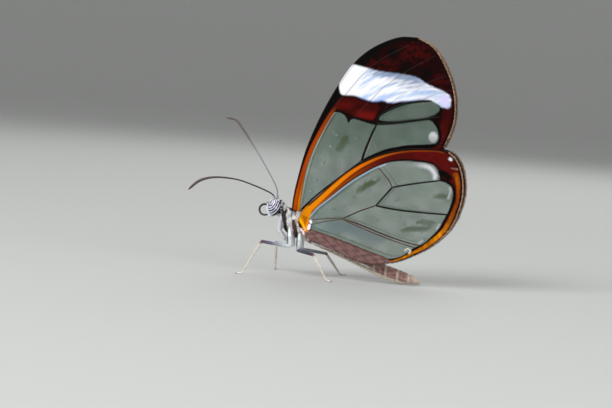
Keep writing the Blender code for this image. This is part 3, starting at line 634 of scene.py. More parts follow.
def leaf_side(plan, tip_lean, offset):
    """How far out a wing's leaf stands: its offset, a lean and a bow that grow with the reach from the
    hinge, the forewing's freer tip, and the tuck of the root."""
    away = np.linalg.norm(plan - np.array(WING_HINGE), axis=1)
    reach = away / WING_REACH
    free = smooth(plan[:, 1], TIP_FREE_FROM, TIP_TOP)
    tuck = WING_TUCK * np.exp(-((away / TUCK_REACH) ** 2))
    return offset + WING_SPREAD * reach + 4 * WING_CAMBER * reach * (1 - reach) + tip_lean * free - tuck


def wing_offsets():
    """Where the leaves stand beside the thorax, read from the solids' boxes at their roots."""
    low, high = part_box("thorax")
    half = (high.y - low.y) / 2 / MM
    hind = half + 0.55
    return {"forewing": hind - 1.04, "hindwing": hind}


def painted(layer, mask, colour, cover=1.0):
    """A layer of (colours, covers) with a colour laid over it where the mask is 1."""
    colours, covers = layer
    share = np.clip(mask, 0, 1)
    blended = colours * (1 - share[:, None]) + np.asarray(colour, float) * share[:, None]
    return blended, covers * (1 - share) + cover * share


def stroke(plan, line, reach, soft=0.12):
    """1 along a line out to its reach, fading over the soft width."""
    return smooth(reach + soft / 2 - line_distance(plan, line), 0, soft)


def area(plan, outline):
    """Depth inside a rounded closed outline."""
    return depth_inside(plan, curve_through(outline, 160, closed=True))


def mixed(share, first, second):
    """The first colour where the share is 0 and the second where it is 1, point by point."""
    return np.asarray(first) * (1 - share[:, None]) + np.asarray(second) * share[:, None]


def bare_film(plan, smudges, specks, seed, looks):
    """Clear membrane with faint clouds, olive smudges and pale specks."""
    film = np.array(looks.membrane) * (1 + 0.14 * cloud(plan, 4.5, seed))[:, None]
    layer = film, 0.06 + 0.05 * cloud(plan, 3.0, seed + 1)
    for start, end, reach in smudges:
        soft = smooth(reach * 1.9 - line_distance(plan, (start, end))
                      * (1 + 0.35 * cloud(plan, 0.8, seed + 2)), 0, reach * 1.8)
        layer = painted(layer, 0.55 * soft, FILM_SMUDGE, 0.75)
    for number, spot in enumerate(specks):
        layer = painted(layer, 0.55 * stroke(plan, (spot,), 0.1 + 0.03 * (number % 3)), FILM_SPECK, 0.7)
    return layer


def forewing_paint(plan, inner, looks):
    """Colour and cover at each point of a forewing: clear cells, then border, band, patches and spots."""
    x, z = plan.T
    black, maroon = np.array(looks.black), np.array(looks.maroon)
    orange, white = np.array(looks.orange), np.array(looks.white)
    costa = line_distance(plan, curve_through(FOREWING_COSTA, 90))
    margin = line_distance(plan, curve_through(FOREWING_MARGIN, 60))
    beyond = -np.maximum(area(plan, FOREWING_CELL), area(plan, FOREWING_LENS))
    layer = bare_film(plan, FOREWING_SMUDGES, FOREWING_SPECKS, 3, looks)
    root = smooth(9.0 - np.linalg.norm(plan - np.array(WING_HINGE), axis=1), 0, 8)
    layer = painted(layer, root * 0.35, FILM_AT_ROOT, 0.3)
    layer = painted(layer, 0.7 * stroke(plan, FOREWING_UNDERLINE, 0.16, 0.14), UNDERLINE, 0.9)

    scaled = smooth(beyond, -0.06, 0.08)
    layer = painted(layer, scaled, maroon * 0.2)
    mottle = 1 + 0.5 * cloud(plan, 1.1, 12)
    for spot in FOREWING_EMBERS:
        apart = line_distance(plan * EMBER_STRETCH, (np.array(spot) * EMBER_STRETCH,))
        soft = smooth(1.5 * mottle - apart, 0, 1.5)
        layer = painted(layer, scaled * soft * 0.8, maroon * 0.9)
    for spot in FOREWING_SHADES:
        layer = painted(layer, scaled * smooth(1.2 * mottle - line_distance(plan, (spot,)), 0, 1.0), black)
    patch = smooth(area(plan, FOREWING_PATCH), 0.0, 0.4)
    layer = painted(layer, patch * (0.8 + 0.2 * cloud(plan, 1.3, 13)), maroon * 1.1)
    hot = smooth(1.1 - line_distance(plan, FOREWING_HOT), 0, 1.0)
    hot = hot + 0.5 * stroke(plan, FOREWING_WARM, 0.4, 0.9)
    layer = painted(layer, patch * hot, maroon * 2.9)
    rim = smooth(margin, 0.3, 0.55) * smooth(1.9 - margin, 0, 0.5)
    rim = rim * smooth(x, 10.5, 12.5) * smooth(27.0 - z, 0, 3)
    glow = 0.75 + 0.25 * cloud(plan, 1.4, 14)
    layer = painted(layer, scaled * rim * glow, mixed(smooth(22.5 - z, 0, 3), maroon * 1.0, maroon * 2.3))
    lining = 0.36 + 0.2 * smooth(x, 10.5, 13)
    layer = painted(layer, scaled * smooth(lining - beyond, 0, 0.18), black)

    edge_black = np.interp(z, *FOREWING_BLACK_EDGE)
    stripe = np.interp(z, *FOREWING_STRIPE)
    ember = smooth(13.5 - z, 0, 5.0)
    outer = mixed(ember, STRIPE_OUTER, orange * (0.75, 0.42, 1.0))
    heart = mixed(ember, STRIPE_HEART, orange * (1.05, 1.12, 1.0))
    flame = mixed(smooth(costa - edge_black - 0.5 * stripe, -0.1, 0.1), outer, heart)
    flame = flame * (1 - 0.55 * stroke_at(costa - edge_black - 0.5 * stripe, 0.07)
                     * smooth(15 - z, 0, 4))[:, None]
    flame = flame * (1 - 0.35 * smooth(z, 17, 22.5))[:, None]
    reach = smooth(23.2 - z, 0, 1.4) * smooth(6.0 - x, 0, 1)
    on_stripe = smooth(edge_black + stripe - costa, 0, 0.1) * reach
    layer = painted(layer, on_stripe, flame)
    layer = painted(layer, on_stripe * smooth(costa - edge_black - stripe + 0.14, 0, 0.1), black * 4)
    pale = stroke_at(costa - edge_black - stripe - 0.07, 0.07) * reach * smooth(17.0 - z, 0, 3)
    layer = painted(layer, pale * 0.6, STRIPE_LINING, 0.9)
    layer = painted(layer, smooth(edge_black - costa, -0.05, 0.1) * smooth(14.0 - x, 0, 3), black)
    layer = painted(layer, smooth(0.3 - margin, 0, 0.15), black * 3)

    layer = white_band(layer, plan, white)
    spot = np.linalg.norm((plan - np.array(FOREWING_SPOT)) / FOREWING_SPOT_SIZE, axis=1)
    shade = 0.75 + 0.25 * smooth(z, 19.4, 20.2)
    layer = painted(layer, smooth(1.1 - spot, 0, 0.5) * shade, white * 0.62, 0.95)
    return inner_face(layer, inner, beyond, margin, looks)


def stroke_at(distance, reach):
    """1 where a signed distance is near 0."""
    return smooth(reach * 1.5 - np.abs(distance), 0, reach)


def white_band(layer, plan, white):
    """The band across the forewing: white at its front end, then blue and grey streaks that fan out.

    A streak follows z - (x - 0.033 x^2), whose slope falls from 40 degrees in front to 12 behind."""
    x, z = plan.T
    band = area(plan, FOREWING_BAND)
    across = z - (x - 0.033 * x**2)
    cool, grey = np.array(BAND_COOL), np.array(BAND_GREY)
    ragged = band + 0.05 * cloud(np.stack([x * 0.4, across * 2.0], axis=1), 1.0, 24) * smooth(x, 3, 5)
    broad = cloud(np.stack([x * 0.16, across], axis=1), 1.1, 21)
    fine = cloud(np.stack([x * 0.22, across], axis=1), 0.42, 22)
    streak = smooth(broad + 0.5 * fine, -0.35, 0.9) * smooth(x, 2.7, 4.0)
    frost = mixed(streak * 0.85, white, cool)
    top = smooth(z - np.interp(x, *BAND_TOP) + 0.5 * fine, -0.2, 1.3)
    frost = mixed(top * smooth(x, 3.4, 5.2) * smooth(12.6 - x, 0, 2) * 0.85, frost, grey)
    dull = smooth(x, 9.5, 13.0) * smooth(0.2 - fine, -0.2, 0.8)
    frost = mixed(dull * 0.5, frost, grey * 1.4)
    end = smooth(0.95 - np.linalg.norm((plan - BAND_END) / BAND_END_SIZE, axis=1), 0, 0.6)
    frost = mixed(end, frost, BAND_LILAC)
    rim = smooth(0.3 - band, 0, 0.3) * smooth(x, 2.0, 4.0)
    rim = rim * smooth(26.4 - z, 0, 0.6) * smooth(11.5 - x, 0, 2)
    frost = mixed(rim * 0.6, frost, BAND_RIM)
    for number in range(2):
        line = FOREWING_VEINS[5 + number][1]
        frost = mixed(0.35 * stroke(plan, line, 0.06, 0.12), frost, BAND_VEIN)
    return painted(layer, smooth(ragged, -0.1, 0.14), frost)


def inner_face(layer, inner, beyond, margin, looks):
    """The upper side of a wing: duller, its clear cells a little wider, and its margin pale brown."""
    colours, covers = layer
    layer = colours * np.where(inner, 0.8, 1.0)[:, None], covers
    ring = inner * smooth(0.62 - beyond, 0, 0.12) * smooth(beyond, -0.05, 0.05)
    layer = painted(layer, ring, PALE_FILM)
    return painted(layer, inner * smooth(0.16 - margin, 0, 0.1), looks.fringe)


def hindwing_paint(plan, inner, looks):
    """Colour and cover at each point of a hindwing: one clear field, then its border, streaks and folds."""
    x, z = plan.T
    black, maroon = np.array(looks.black), np.array(looks.maroon)
    orange, white = np.array(looks.orange), np.array(looks.white)
    edge = line_distance(plan, curve_through(HINDWING_COSTA, 120))
    hind = line_distance(plan, curve_through(HINDWING_HIND, 70))
    margin = np.where((x > 12) | (z < 4), np.minimum(edge, hind), edge)
    beyond = -area(plan, HINDWING_CELL)
    layer = bare_film(plan, HINDWING_SMUDGES, HINDWING_SPECKS, 33, looks)
    root = smooth(8.0 - np.linalg.norm(plan - np.array(WING_HINGE), axis=1), 0, 7)
    layer = painted(layer, root * 0.3, FILM_AT_ROOT, 0.35)
    haze = smooth(1.3 - line_distance(plan, HINDWING_HAZE), 0, 1.2)
    layer = painted(layer, 0.45 * haze, HAZE, 0.5)
    under = curve_through(HINDWING_UNDERLINE, 50)
    layer = painted(layer, 0.8 * stroke(plan, under, 0.12, 0.22), COOL_UNDERLINE, 0.9)
    frost = curve_through(HINDWING_FROST, 50)
    strong = 0.25 + 0.7 * smooth(x, 10.5, 13.5)
    layer = painted(layer, strong * smooth(0.62 - line_distance(plan, frost), 0, 0.55), white * 0.75, 0.9)
    for glint in HINDWING_GLINTS:
        layer = painted(layer, 0.75 * smooth(0.34 - line_distance(plan, glint), 0, 0.3), white * 0.6, 0.8)

    scaled = smooth(beyond, -0.06, 0.08)
    layer = painted(layer, scaled, maroon * 0.9)
    red = maroon * (1.7 + 0.4 * cloud(plan, 1.5, 35))[:, None]
    upper = smooth(z - 13.5 + (x - 17) * 0.6, 0, 0.6)
    layer = painted(layer, scaled * smooth(2.6 - edge, 0, 0.4) * upper, red)
    costal = smooth(15.6 - x, 0, 1.0) * scaled * smooth(z, 7.4, 8.0)
    warm = smooth(9.5 - x, 0, 6.0)
    rust = mixed(smooth(8.5 - x, 0, 8), maroon * 2.2, RUST)
    layer = painted(layer, costal * smooth(edge, 0.1, 0.25) * (0.5 + 0.5 * warm), rust)
    crest = np.interp(x, *CREST_DEPTH)
    width = np.interp(x, *CREST_WIDTH)
    fire = smooth(width * 1.5 - np.abs(edge - crest), 0, width)
    blaze = orange * mixed(smooth(x, -2, 6), (1.1, 1.15, 1), (1, 0.8, 1))
    layer = painted(layer, costal * fire * (1 - 0.8 * smooth(x, 2, 11)), blaze)
    layer = painted(layer, costal * smooth(x, -1.0, 3.0) * stroke_at(edge - crest - width - 0.16, 0.07)
                    * smooth(8 - x, 0, 3) * 0.6, maroon)
    layer = painted(layer, scaled * smooth(0.2 + 0.14 * smooth(x, 6, 10) - beyond, 0, 0.14)
                    * smooth(x, -0.5, 2.5), black)
    inner_line = 0.34 + 0.1 * smooth(z, 8, 12)
    layer = painted(layer, scaled * smooth(inner_line - beyond, 0, 0.16) * smooth(x, 11.2, 12.8)
                    * smooth(15.5 - z, 0, 0.7), black)

    glow = curve_through(HINDWING_GLOW, 120)
    share = np.argmin(np.linalg.norm(plan[:, None, :] - glow[None, ::4], axis=2), axis=1) / (len(glow) / 4)
    heat = np.interp(share, *GLOW_HEAT)
    breadth = np.interp(share, *GLOW_BREADTH)
    ember = mixed(heat, GLOW_RED, orange * (1.1, 1.3, 1.0)) * (0.9 + 0.25 * cloud(plan, 0.8, 36))[:, None]
    lit = line_distance(plan, glow)
    layer = painted(layer, scaled * smooth(breadth + 0.1 - lit, 0, 0.2), ember)
    joints = np.minimum(*(line_distance(plan, (joint,)) for joint in HINDWING_JOINTS))
    layer = painted(layer, scaled * smooth(0.24 - joints, 0, 0.2) * 0.7, black * 3)
    layer = painted(layer, stroke(plan, HINDWING_NOTCH, 0.42, 0.3), black)
    layer = painted(layer, stroke(plan, HINDWING_DOT, 0.2, 0.14), white * 0.75)
    dash = stroke(plan, HINDWING_DASH, 0.08, 0.14) * (0.4 + 0.6 * smooth(x, 16.6, 17.2))
    layer = painted(layer, dash, DASH)
    front = smooth(0.12 + 0.1 * smooth(x, 2, 6) - edge, 0, 0.1)
    layer = painted(layer, front * smooth(x, -2.8, -1.8), black)
    layer = painted(layer, smooth(0.36 - edge, 0, 0.14) * smooth(x, 15.5, 17.0), black * 2)
    layer = painted(layer, smooth(0.16 - hind, 0, 0.1) * smooth(x, 9.0, 10.5), black * 2)

    fold = area(plan, HINDWING_FOLD)
    grain = cloud(np.stack([x * 0.3, z + 0.33 * x], axis=1), 0.4, 37)
    silk = mixed(smooth(grain, -1.0, 1.0), SILK_DARK, SILK_PALE)
    layer = painted(layer, smooth(fold, -0.1, 0.15), silk, 0.95)
    warm_edge = stroke(plan, curve_through(HINDWING_FOLD[:6], 40), 0.05, 0.1)
    layer = painted(layer, warm_edge * 0.7, FOLD_EDGE)
    # painted highlight: the curled glint near the hind edge
    curl = curve_through(HINDWING_CURL_GLINT, 20)
    layer = painted(layer, stroke(plan, curl, 0.09, 0.1), CURL_GLINT)

    layer = painted(layer, smooth(area(plan, HINDWING_PATCH), -0.12, 0.05), orange * (1.1, 1.25, 1.0))
    triangle = depth_inside(plan, PATCH_TRIANGLE)
    layer = painted(layer, 0.75 * smooth(triangle, -0.12, 0.1), orange * 0.42)
    layer = painted(layer, 0.5 * stroke(plan, PATCH_LINE, 0.06, 0.1), maroon)
    layer = painted(layer, 0.8 * stroke(plan, PATCH_EDGE, 0.14, 0.2), PATCH_YELLOW)
    foot = smooth(6.6 - z, 0, 0.4) * smooth(-2.4 - x, 0, 0.4)
    peach = mixed(smooth(cloud(plan, 0.35, 38), 0.0, 0.35), PEACH, PEACH_BROWN)
    layer = painted(layer, foot, peach)
    tufts = np.minimum(*(line_distance(plan, tuft) for tuft in HINDWING_TUFTS))
    layer = painted(layer, smooth(0.26 - tufts, 0, 0.12), TUFT_WHITE)
    return inner_face(layer, inner, beyond, margin, looks)


def wing_leaf(costa, hind, offset, tip_lean, side, looks):
    """Rings of a thin leaf between its front and hind lines, and which of their points face the other wing.

    Along the leaf u goes from root to tip, and round each ring a goes from 0 to 2 pi: the place is a share
    v(a) of the way from the front line to the hind line, and t * sin(a)^0.4 out from the leaf's middle."""
    rows, sides = looks.leaf_rows, looks.leaf_sides
    front = curve_through(costa, rows)
    back = curve_through(hind, rows)
    angle = np.arange(sides) * 2 * math.pi / sides
    level = np.where(angle <= math.pi, angle / math.pi, 2 - angle / math.pi)
    share = 0.65 * level + 0.35 * (1 - np.cos(angle)) / 2
    plan = front[:, None] * (1 - share)[None, :, None] + back[:, None] * share[None, :, None]
    flat = plan.reshape(-1, 2)
    lift = np.sign(np.sin(angle)) * np.abs(np.sin(angle)) ** 0.4
    thick = looks.leaf_thickness / MM / 2 * np.broadcast_to(lift, (rows, sides)).reshape(-1)
    out = side * (leaf_side(flat, tip_lean, offset) + thick)
    rings = np.stack([flat[:, 0], out, flat[:, 1]], axis=1).reshape(rows, sides, 3)
    return rings, np.broadcast_to(lift < 0, (rows, sides)).reshape(-1)


def vein_tubes(lines, offset, tip_lean, side, thickness):
    """Each vein as a flattened tube that stands out on both faces of its leaf and tapers to its end.

    Returned as (points, faces, radius, whether a point is on the half that faces the other wing)."""
    tubes = []
    for radius, line in lines:
        length = np.linalg.norm(np.diff(np.asarray(line), axis=0), axis=1).sum()
        plan = curve_through(line, max(8, int(length / 0.2)))
        path = np.stack([plan[:, 0], side * leaf_side(plan, tip_lean, offset), plan[:, 1]], axis=1)
        taper = np.interp(np.linspace(0, 1, len(path)), (0, 0.08, 0.9, 1),
                          (0.7, 1.0, 0.85, 0.6)) * radius * thickness
        tangent = unit(np.gradient(plan, axis=0))
        level = np.stack([-tangent[:, 1], np.zeros(len(plan)), tangent[:, 0]], axis=1)
        angle = np.arange(VEIN_SIDES) * 2 * math.pi / VEIN_SIDES
        out = np.array([0.0, side, 0.0])
        ring = np.cos(angle)[None, :, None] * level[:, None] + 0.8 * np.sin(angle)[None, :, None] * out
        points, faces = closed_skin(path[:, None] + ring * taper[:, None, None])
        inner = np.concatenate([np.tile(np.sin(angle) < -0.2, len(path)), [False, False]])
        tubes.append((points, faces, radius, inner))
    return tubes


def vein_tint(kind, points, radius, inner, looks):
    """Thick veins are black and thin ones red-brown; where scales cover a vein it takes their colour, and on
    the upper side it pales to the tint of the membrane."""
    plan = points[:, [0, 2]]
    dark = mixed(np.full(len(plan), float(smooth(0.1 - radius, 0.0, 0.04))), looks.black, THIN_VEIN)
    paint = forewing_paint if kind == "forewing" else hindwing_paint
    colours, covers = paint(plan, np.zeros(len(plan), bool), looks)
    covered = smooth(covers, 0.75, 1.0) * (1.0 if radius <= 0.12 else 0.0)
    tint = mixed(covered, dark, colours * 0.85)
    return mixed(inner * (1 - covered) * 0.8, tint, PALE_FILM)


def tapered_vanes(roots, along, normal, length, width, lift, curl=0.0):
    """One closed, flat, tapered vane of ten triangles at each root.

    Rings of three points stand at 0 and 0.55 of the length and the tip at 1; a point at share s lies at
    root + length * (s * along + lift * s * normal - curl * s^2 * normal)."""
    across = unit(np.cross(along, normal))
    pieces = []
    for share, wide, high in ((0.0, 0.5, 0.0), (0.0, -0.5, 0.0), (0.0, 0.0, 0.3), (0.55, 0.42, 0.0),
                              (0.55, -0.42, 0.0),
                              (0.55, 0.0, 0.22), (1.0, 0.0, 0.0)):
        rise = lift * share - curl * share**2
        point = roots + along * (length * share)[:, None] + normal * (length * rise)[:, None]
        pieces.append(point + across * (width * wide)[:, None] + normal * (width * high)[:, None])
    points = np.stack(pieces, axis=1)
    pattern = np.array([(0, 1, 4), (0, 4, 3), (1, 2, 5), (1, 5, 4), (2, 0, 3), (2, 3, 5), (3, 4, 6),
                        (4, 5, 6), (5, 3, 6), (0, 2, 1)])
    faces = (np.arange(len(roots))[:, None, None] * VANE_POINTS + pattern[None]).reshape(-1, 3)
    one = points[:1].reshape(-1, 3)
    if facing_out(one, [pattern])[0][0][0] != pattern[0][0]:
        faces = faces[:, ::-1]
    return points.reshape(-1, 3), faces


def fringe_vanes(line, keep, offset, tip_lean, side, looks, seed):
    """A row of fine scales along a wing's margin, each pointing out in the wing's own plane."""
    rng = np.random.default_rng(seed)
    length = np.linalg.norm(np.diff(np.asarray(line), axis=0), axis=1).sum()
    plan = curve_through(line, int(length / 0.055))
    tangent = unit(np.gradient(plan, axis=0))
    outward = np.stack([-tangent[:, 1], tangent[:, 0]], axis=1)
    centre = np.mean(plan, axis=0)
    outward *= np.sign(((plan - centre) * outward).sum(axis=1))[:, None]
    kept = keep(plan)
    plan, outward = plan[kept] - outward[kept] * 0.08, outward[kept]
    count = len(plan)
    level = leaf_side(plan, tip_lean, offset) + rng.uniform(-0.03, 0.03, count)
    roots = np.stack([plan[:, 0], side * level, plan[:, 1]], axis=1)
    turn = rng.normal(0, 0.18, count)
    spun = unit(np.stack([outward[:, 0] - turn * outward[:, 1], np.zeros(count),
                          outward[:, 1] + turn * outward[:, 0]], axis=1))
    normal = np.tile((0.0, float(side), 0.0), (count, 1))
    points, faces = tapered_vanes(roots, spun, normal, rng.uniform(0.17, 0.32, count),
                                  rng.uniform(0.06, 0.1, count), 0.0)
    tan = mixed(smooth(plan[:, 1], 3.5, 8.0), FRINGE_BELOW, looks.fringe)
    colour = tan * rng.uniform(0.7, 1.7, count)[:, None]
    return points, faces, np.repeat(colour, VANE_POINTS, axis=0)


def body_rings(rows, sides, shrink=1.0):
    """The body's skin: ovals carried along its middle line, with a shallow groove behind each ring of the
    abdomen. Half heights and widths are read off the same curve as the line itself."""
    line = curve_through(BODY_LINE, rows)
    path = np.stack([line[:, 0], np.zeros(rows), line[:, 1]], axis=1)
    grooves = np.exp(-((np.min(np.abs(line[:, :1] - np.array(ABDOMEN_RINGS)), axis=1) / 0.16) ** 2))
    high = np.maximum(line[:, 2] * (1 - 0.07 * grooves) * shrink, 0.02)
    wide = np.maximum(line[:, 3] * (1 - 0.07 * grooves) * shrink, 0.02)
    tangent = unit(np.gradient(path, axis=0))
    up = np.stack([-tangent[:, 2], np.zeros(rows), tangent[:, 0]], axis=1)
    up *= np.sign(up[:, 2:3])
    angle = np.arange(sides) * 2 * math.pi / sides
    level = np.array([0.0, 1.0, 0.0])
    ring = np.cos(angle)[None, :, None] * level * wide[:, None, None]
    ring = ring + np.sin(angle)[None, :, None] * up[:, None] * high[:, None, None]
    out = ring / np.linalg.norm(ring, axis=2)[:, :, None]
    skin = path[:, None] + ring
    for middle, reach, height in BODY_LUMPS:
        away = np.linalg.norm(skin * (1, 0, 1) + np.abs(skin) * (0, 1, 0) - np.array(middle), axis=2)
        ring = ring + out * (height * np.exp(-((away / reach) ** 2)))[:, :, None]
    return path[:, None] + ring


def body_tint(points, looks):
    """Colour of skin and coat at each point: a base for head, thorax and abdomen, then the soft marks."""
    x, y, z = points.T
    named = {
        "white": np.array(looks.white_fur),
        "cream": np.array(looks.cream_fur),
        "brown": np.array(looks.brown_fur),
        "black_fur_and_gap_shade": np.array(looks.dark_fur),
        "blue": np.array(BLUE_FUR),
    }
    mottle = 1 + 0.35 * cloud(points, 0.9, 51)
    colours = named["brown"] * 0.6 * mottle[:, None]
    tail = smooth(x, ABDOMEN_FROM - 0.3, ABDOMEN_FROM + 0.5)[:, None]
    belly = np.interp(x, *BELLY_LINE)
    mauve = np.array(looks.abdomen) * (1 + 0.4 * cloud(points, 0.6, 52))[:, None]
    rings = np.exp(-((np.min(np.abs(x[:, None] - 0.12 - np.array(ABDOMEN_RINGS)), axis=1) / 0.12) ** 2))
    mauve = mauve * (1 - 0.55 * rings[:, None]) + named["cream"] * 0.55 * rings[:, None]
    under = smooth(belly - z, -0.15, 0.35)[:, None]
    mauve = mauve * (1 - under) + named["cream"] * under
    stripe = smooth(0.16 - np.abs(z - belly - 0.18), 0, 0.12)[:, None] * smooth(7.5 - x, 0, 2)[:, None]
    mauve = mauve * (1 - stripe) + named["white"] * stripe
    pale_tip = 0.6 * smooth(x, 10.5, 12.8)[:, None]
    mauve = mauve * (1 - pale_tip) + named["cream"] * 0.8 * pale_tip
    head = smooth(HEAD_FROM - x, 0, 0.3)[:, None]
    colours = colours * (1 - head) + named["black_fur_and_gap_shade"] * 1.5 * head
    speckle = smooth(cloud(points, 0.5, 53), 0.05, 0.5)[:, None] * head
    colours = colours * (1 - speckle) + named["white"] * speckle
    for name, reach, line in BODY_MARKS:
        away = line_distance(points[:, [0, 2]], line)
        mask = smooth(reach + 0.06 - away, 0, 0.14)[:, None] * (1 - tail)
        colours = colours * (1 - mask) + named[name] * (0.85 + 0.15 * mottle[:, None]) * mask
    chest = smooth(0.35 - np.abs(y), 0, 0.3)[:, None] * smooth(5.9 - z, 0, 0.6)[:, None] * (1 - tail)
    colours = colours * (1 - chest) + named["cream"] * chest
    return colours * (1 - tail) + mauve * tail


def coat_on_body(rows, sides, chosen, count, length, width, lift, seed, looks):
    """Vanes strewn evenly over the part of the skin that chosen(x) picks, lying back towards the tail.

    Skin squares are drawn with a chance that grows with their area, then a place in each at random. A vane's
    map patch, about 0.003 across, sits at its root's place on the skin's own unwrap."""
    rng = np.random.default_rng(seed)
    grid = body_rings(rows, sides)
    wrapped = np.concatenate([grid, grid[:, :1]], axis=1)
    a, b = wrapped[:-1, :-1], wrapped[1:, :-1]
    c, d = wrapped[1:, 1:], wrapped[:-1, 1:]
    extent = np.linalg.norm(np.cross(c - a, d - b), axis=2) * chosen(((a + c) / 2)[..., 0])
    drawn = rng.choice(extent.size, count, p=extent.ravel() / extent.sum())
    row, column = np.unravel_index(drawn, extent.shape)
    s, t = rng.random((2, count))
    corners = [corner[row, column] for corner in (a, b, c, d)]
    weights = ((1 - s) * (1 - t), s * (1 - t), s * t, (1 - s) * t)
    roots = sum(corner * weight[:, None] for corner, weight in zip(corners, weights))
    back = unit(corners[0] - corners[1])
    normal = unit(np.cross(corners[1] - corners[0], corners[3] - corners[0]))
    outward = roots - np.stack([roots[:, 0], np.zeros(count), np.interp(roots[:, 0], *body_axis())], axis=1)
    normal *= np.sign((normal * outward).sum(axis=1))[:, None]
    sag = np.array([0.25, 0.0, -0.45])
    lie = back + sag + rng.normal(0, 0.22, (count, 3))
    lie -= (lie * normal).sum(axis=1)[:, None] * normal
    lie /= np.linalg.norm(lie, axis=1)[:, None]
    long = length(roots) * rng.uniform(0.7, 1.25, count)
    wide = width * rng.uniform(0.7, 1.3, count)
    raised = lift * rng.uniform(0.5, 1.6, count)
    sunk = roots - normal * 0.03
    points, faces = tapered_vanes(sunk, lie, normal, long, wide, raised, 0.5 * lift)
    tint = body_tint(roots, looks) * rng.uniform(0.8, 1.3, count)[:, None]
    tint = np.repeat(np.clip(tint, 0, 1), VANE_POINTS, axis=0)
    # painted shade: the three root points of each vane are darker, as if shaded by the fur above them
    tint.reshape(count, VANE_POINTS, 3)[:, :3] *= 0.88
    home = np.stack([(row + s) / (rows - 1), (column + t) / sides], axis=1)
    patch = np.array([(0, 0), (0.003, 0), (0.0015, 0.001), (0, 0.0015), (0.003, 0.0015), (0.0015, 0.002),
                      (0.0015, 0.003)])
    uv = np.clip(np.repeat(home, VANE_POINTS, axis=0) + np.tile(patch, (count, 1)), 0, 1)
    return points, faces, tint, uv


def body_axis():
    """The body's middle line as rising x and the z that goes with it."""
    line = np.array(BODY_LINE)[::-1]
    return line[:, 0], line[:, 1]


class WingLooks(bpy.types.PropertyGroup):
    """Sizes and colours of the wings"""

    leaf_rows: IntProperty(name="Rows", description="Rings from a wing's root to its tip", default=230,
                           min=20)
    leaf_sides: IntProperty(name="Sides", description="Points round each ring of a wing", default=230,
                            min=20)
    leaf_thickness: FloatProperty(name="Membrane thickness", description="Thickness of a wing's membrane",
                                  default=0.07 * MM, unit="LENGTH", precision=6)
    vein_thickness: FloatProperty(name="Vein size", description="Share of the veins' drawn width",
                                  default=1.0, subtype="FACTOR", min=0.2, max=2.0)
    clearness: FloatProperty(name="Film", description="How much a bare face of membrane hides",
                             default=0.22, subtype="FACTOR", min=0.0, max=1.0)
    membrane: FloatVectorProperty(name="Membrane", description="Tint of the clear membrane",
                                  default=(0.105, 0.175, 0.13), subtype="COLOR", size=3)
    black: FloatVectorProperty(name="Black", description="Edges of the border and the veins",
                               default=(0.002, 0.001, 0.001), subtype="COLOR", size=3)
    maroon: FloatVectorProperty(name="Maroon", description="Dark red scales of the border",
                                default=(0.045, 0.0015, 0.001), subtype="COLOR", size=3)
    orange: FloatVectorProperty(name="Orange", description="Bright scales along the front edges",
                                default=(0.72, 0.20, 0.001), subtype="COLOR", size=3)
    white: FloatVectorProperty(name="White", description="Scales of the band and the spots",
                               default=(0.93, 0.93, 0.98), subtype="COLOR", size=3)
    fringe: FloatVectorProperty(name="Fringe", description="Fine scales along the margin",
                                default=(0.34, 0.22, 0.15), subtype="COLOR", size=3)


class BodyLooks(bpy.types.PropertyGroup):
    """Sizes and colours of the body and its coat"""

    skin_rows: IntProperty(name="Rows", description="Rings from tail to face", default=260, min=20)
    skin_sides: IntProperty(name="Sides", description="Points round each ring", default=72, min=8)
    thorax_vanes: IntProperty(name="Thorax fur", description="Vanes on the thorax", default=19000, min=0)
    head_vanes: IntProperty(name="Head fur", description="Vanes on the head", default=9000, min=0)
    abdomen_vanes: IntProperty(name="Abdomen scales", description="Vanes on the abdomen", default=15000,
                               min=0)
    fur_length: FloatProperty(name="Fur length", description="Length of the thorax's fur",
                              default=0.46 * MM, unit="LENGTH", precision=6)
    white_fur: FloatVectorProperty(name="White", description="White stripes", default=(1.0, 1.0, 1.0),
                                   subtype="COLOR", size=3)
    cream_fur: FloatVectorProperty(name="Cream", description="Cream tufts and belly",
                                   default=(0.88, 0.77, 0.64),
                                   subtype="COLOR", size=3)
    brown_fur: FloatVectorProperty(name="Brown", description="Brown fur between the stripes",
                                   default=(0.13, 0.055, 0.045), subtype="COLOR", size=3)
    dark_fur: FloatVectorProperty(name="Black", description="Blackest fur", default=(0.012, 0.009, 0.012),
                                  subtype="COLOR", size=3)
    abdomen: FloatVectorProperty(name="Abdomen", description="Scales on the abdomen's back and sides",
                                 default=(0.29, 0.165, 0.145), subtype="COLOR", size=3)


class LimbLooks(bpy.types.PropertyGroup):
    """Sizes and colours of feelers, mouthparts and legs"""

    antenna_radius: FloatProperty(name="Feeler", description="Radius of a feeler's stalk",
                                  default=0.1 * MM, unit="LENGTH", precision=6)
    club_radius: FloatProperty(name="Club", description="Radius of a feeler's club",
                               default=0.27 * MM, unit="LENGTH", precision=6)
    thigh_radius: FloatProperty(name="Thigh", description="Radius of a walking leg's thigh",
                                default=0.21 * MM, unit="LENGTH", precision=6)
    shin_radius: FloatProperty(name="Shin", description="Radius of a walking leg's shin",
                               default=0.16 * MM, unit="LENGTH", precision=6)
    horn: FloatVectorProperty(name="Horn", description="Bare dark horn", default=(0.012, 0.010, 0.010),
                              subtype="COLOR", size=3)
    pale: FloatVectorProperty(name="Pale scales", description="Bluish white scales",
                              default=(0.80, 0.86, 0.90),
                              subtype="COLOR", size=3)
    slate: FloatVectorProperty(name="Slate scales", description="Grey scales of the thighs",
                               default=(0.12, 0.11, 0.17), subtype="COLOR", size=3)
    cream: FloatVectorProperty(name="Cream scales", description="Cream scales of shins and feet",
                               default=(0.95, 0.86, 0.77), subtype="COLOR", size=3)


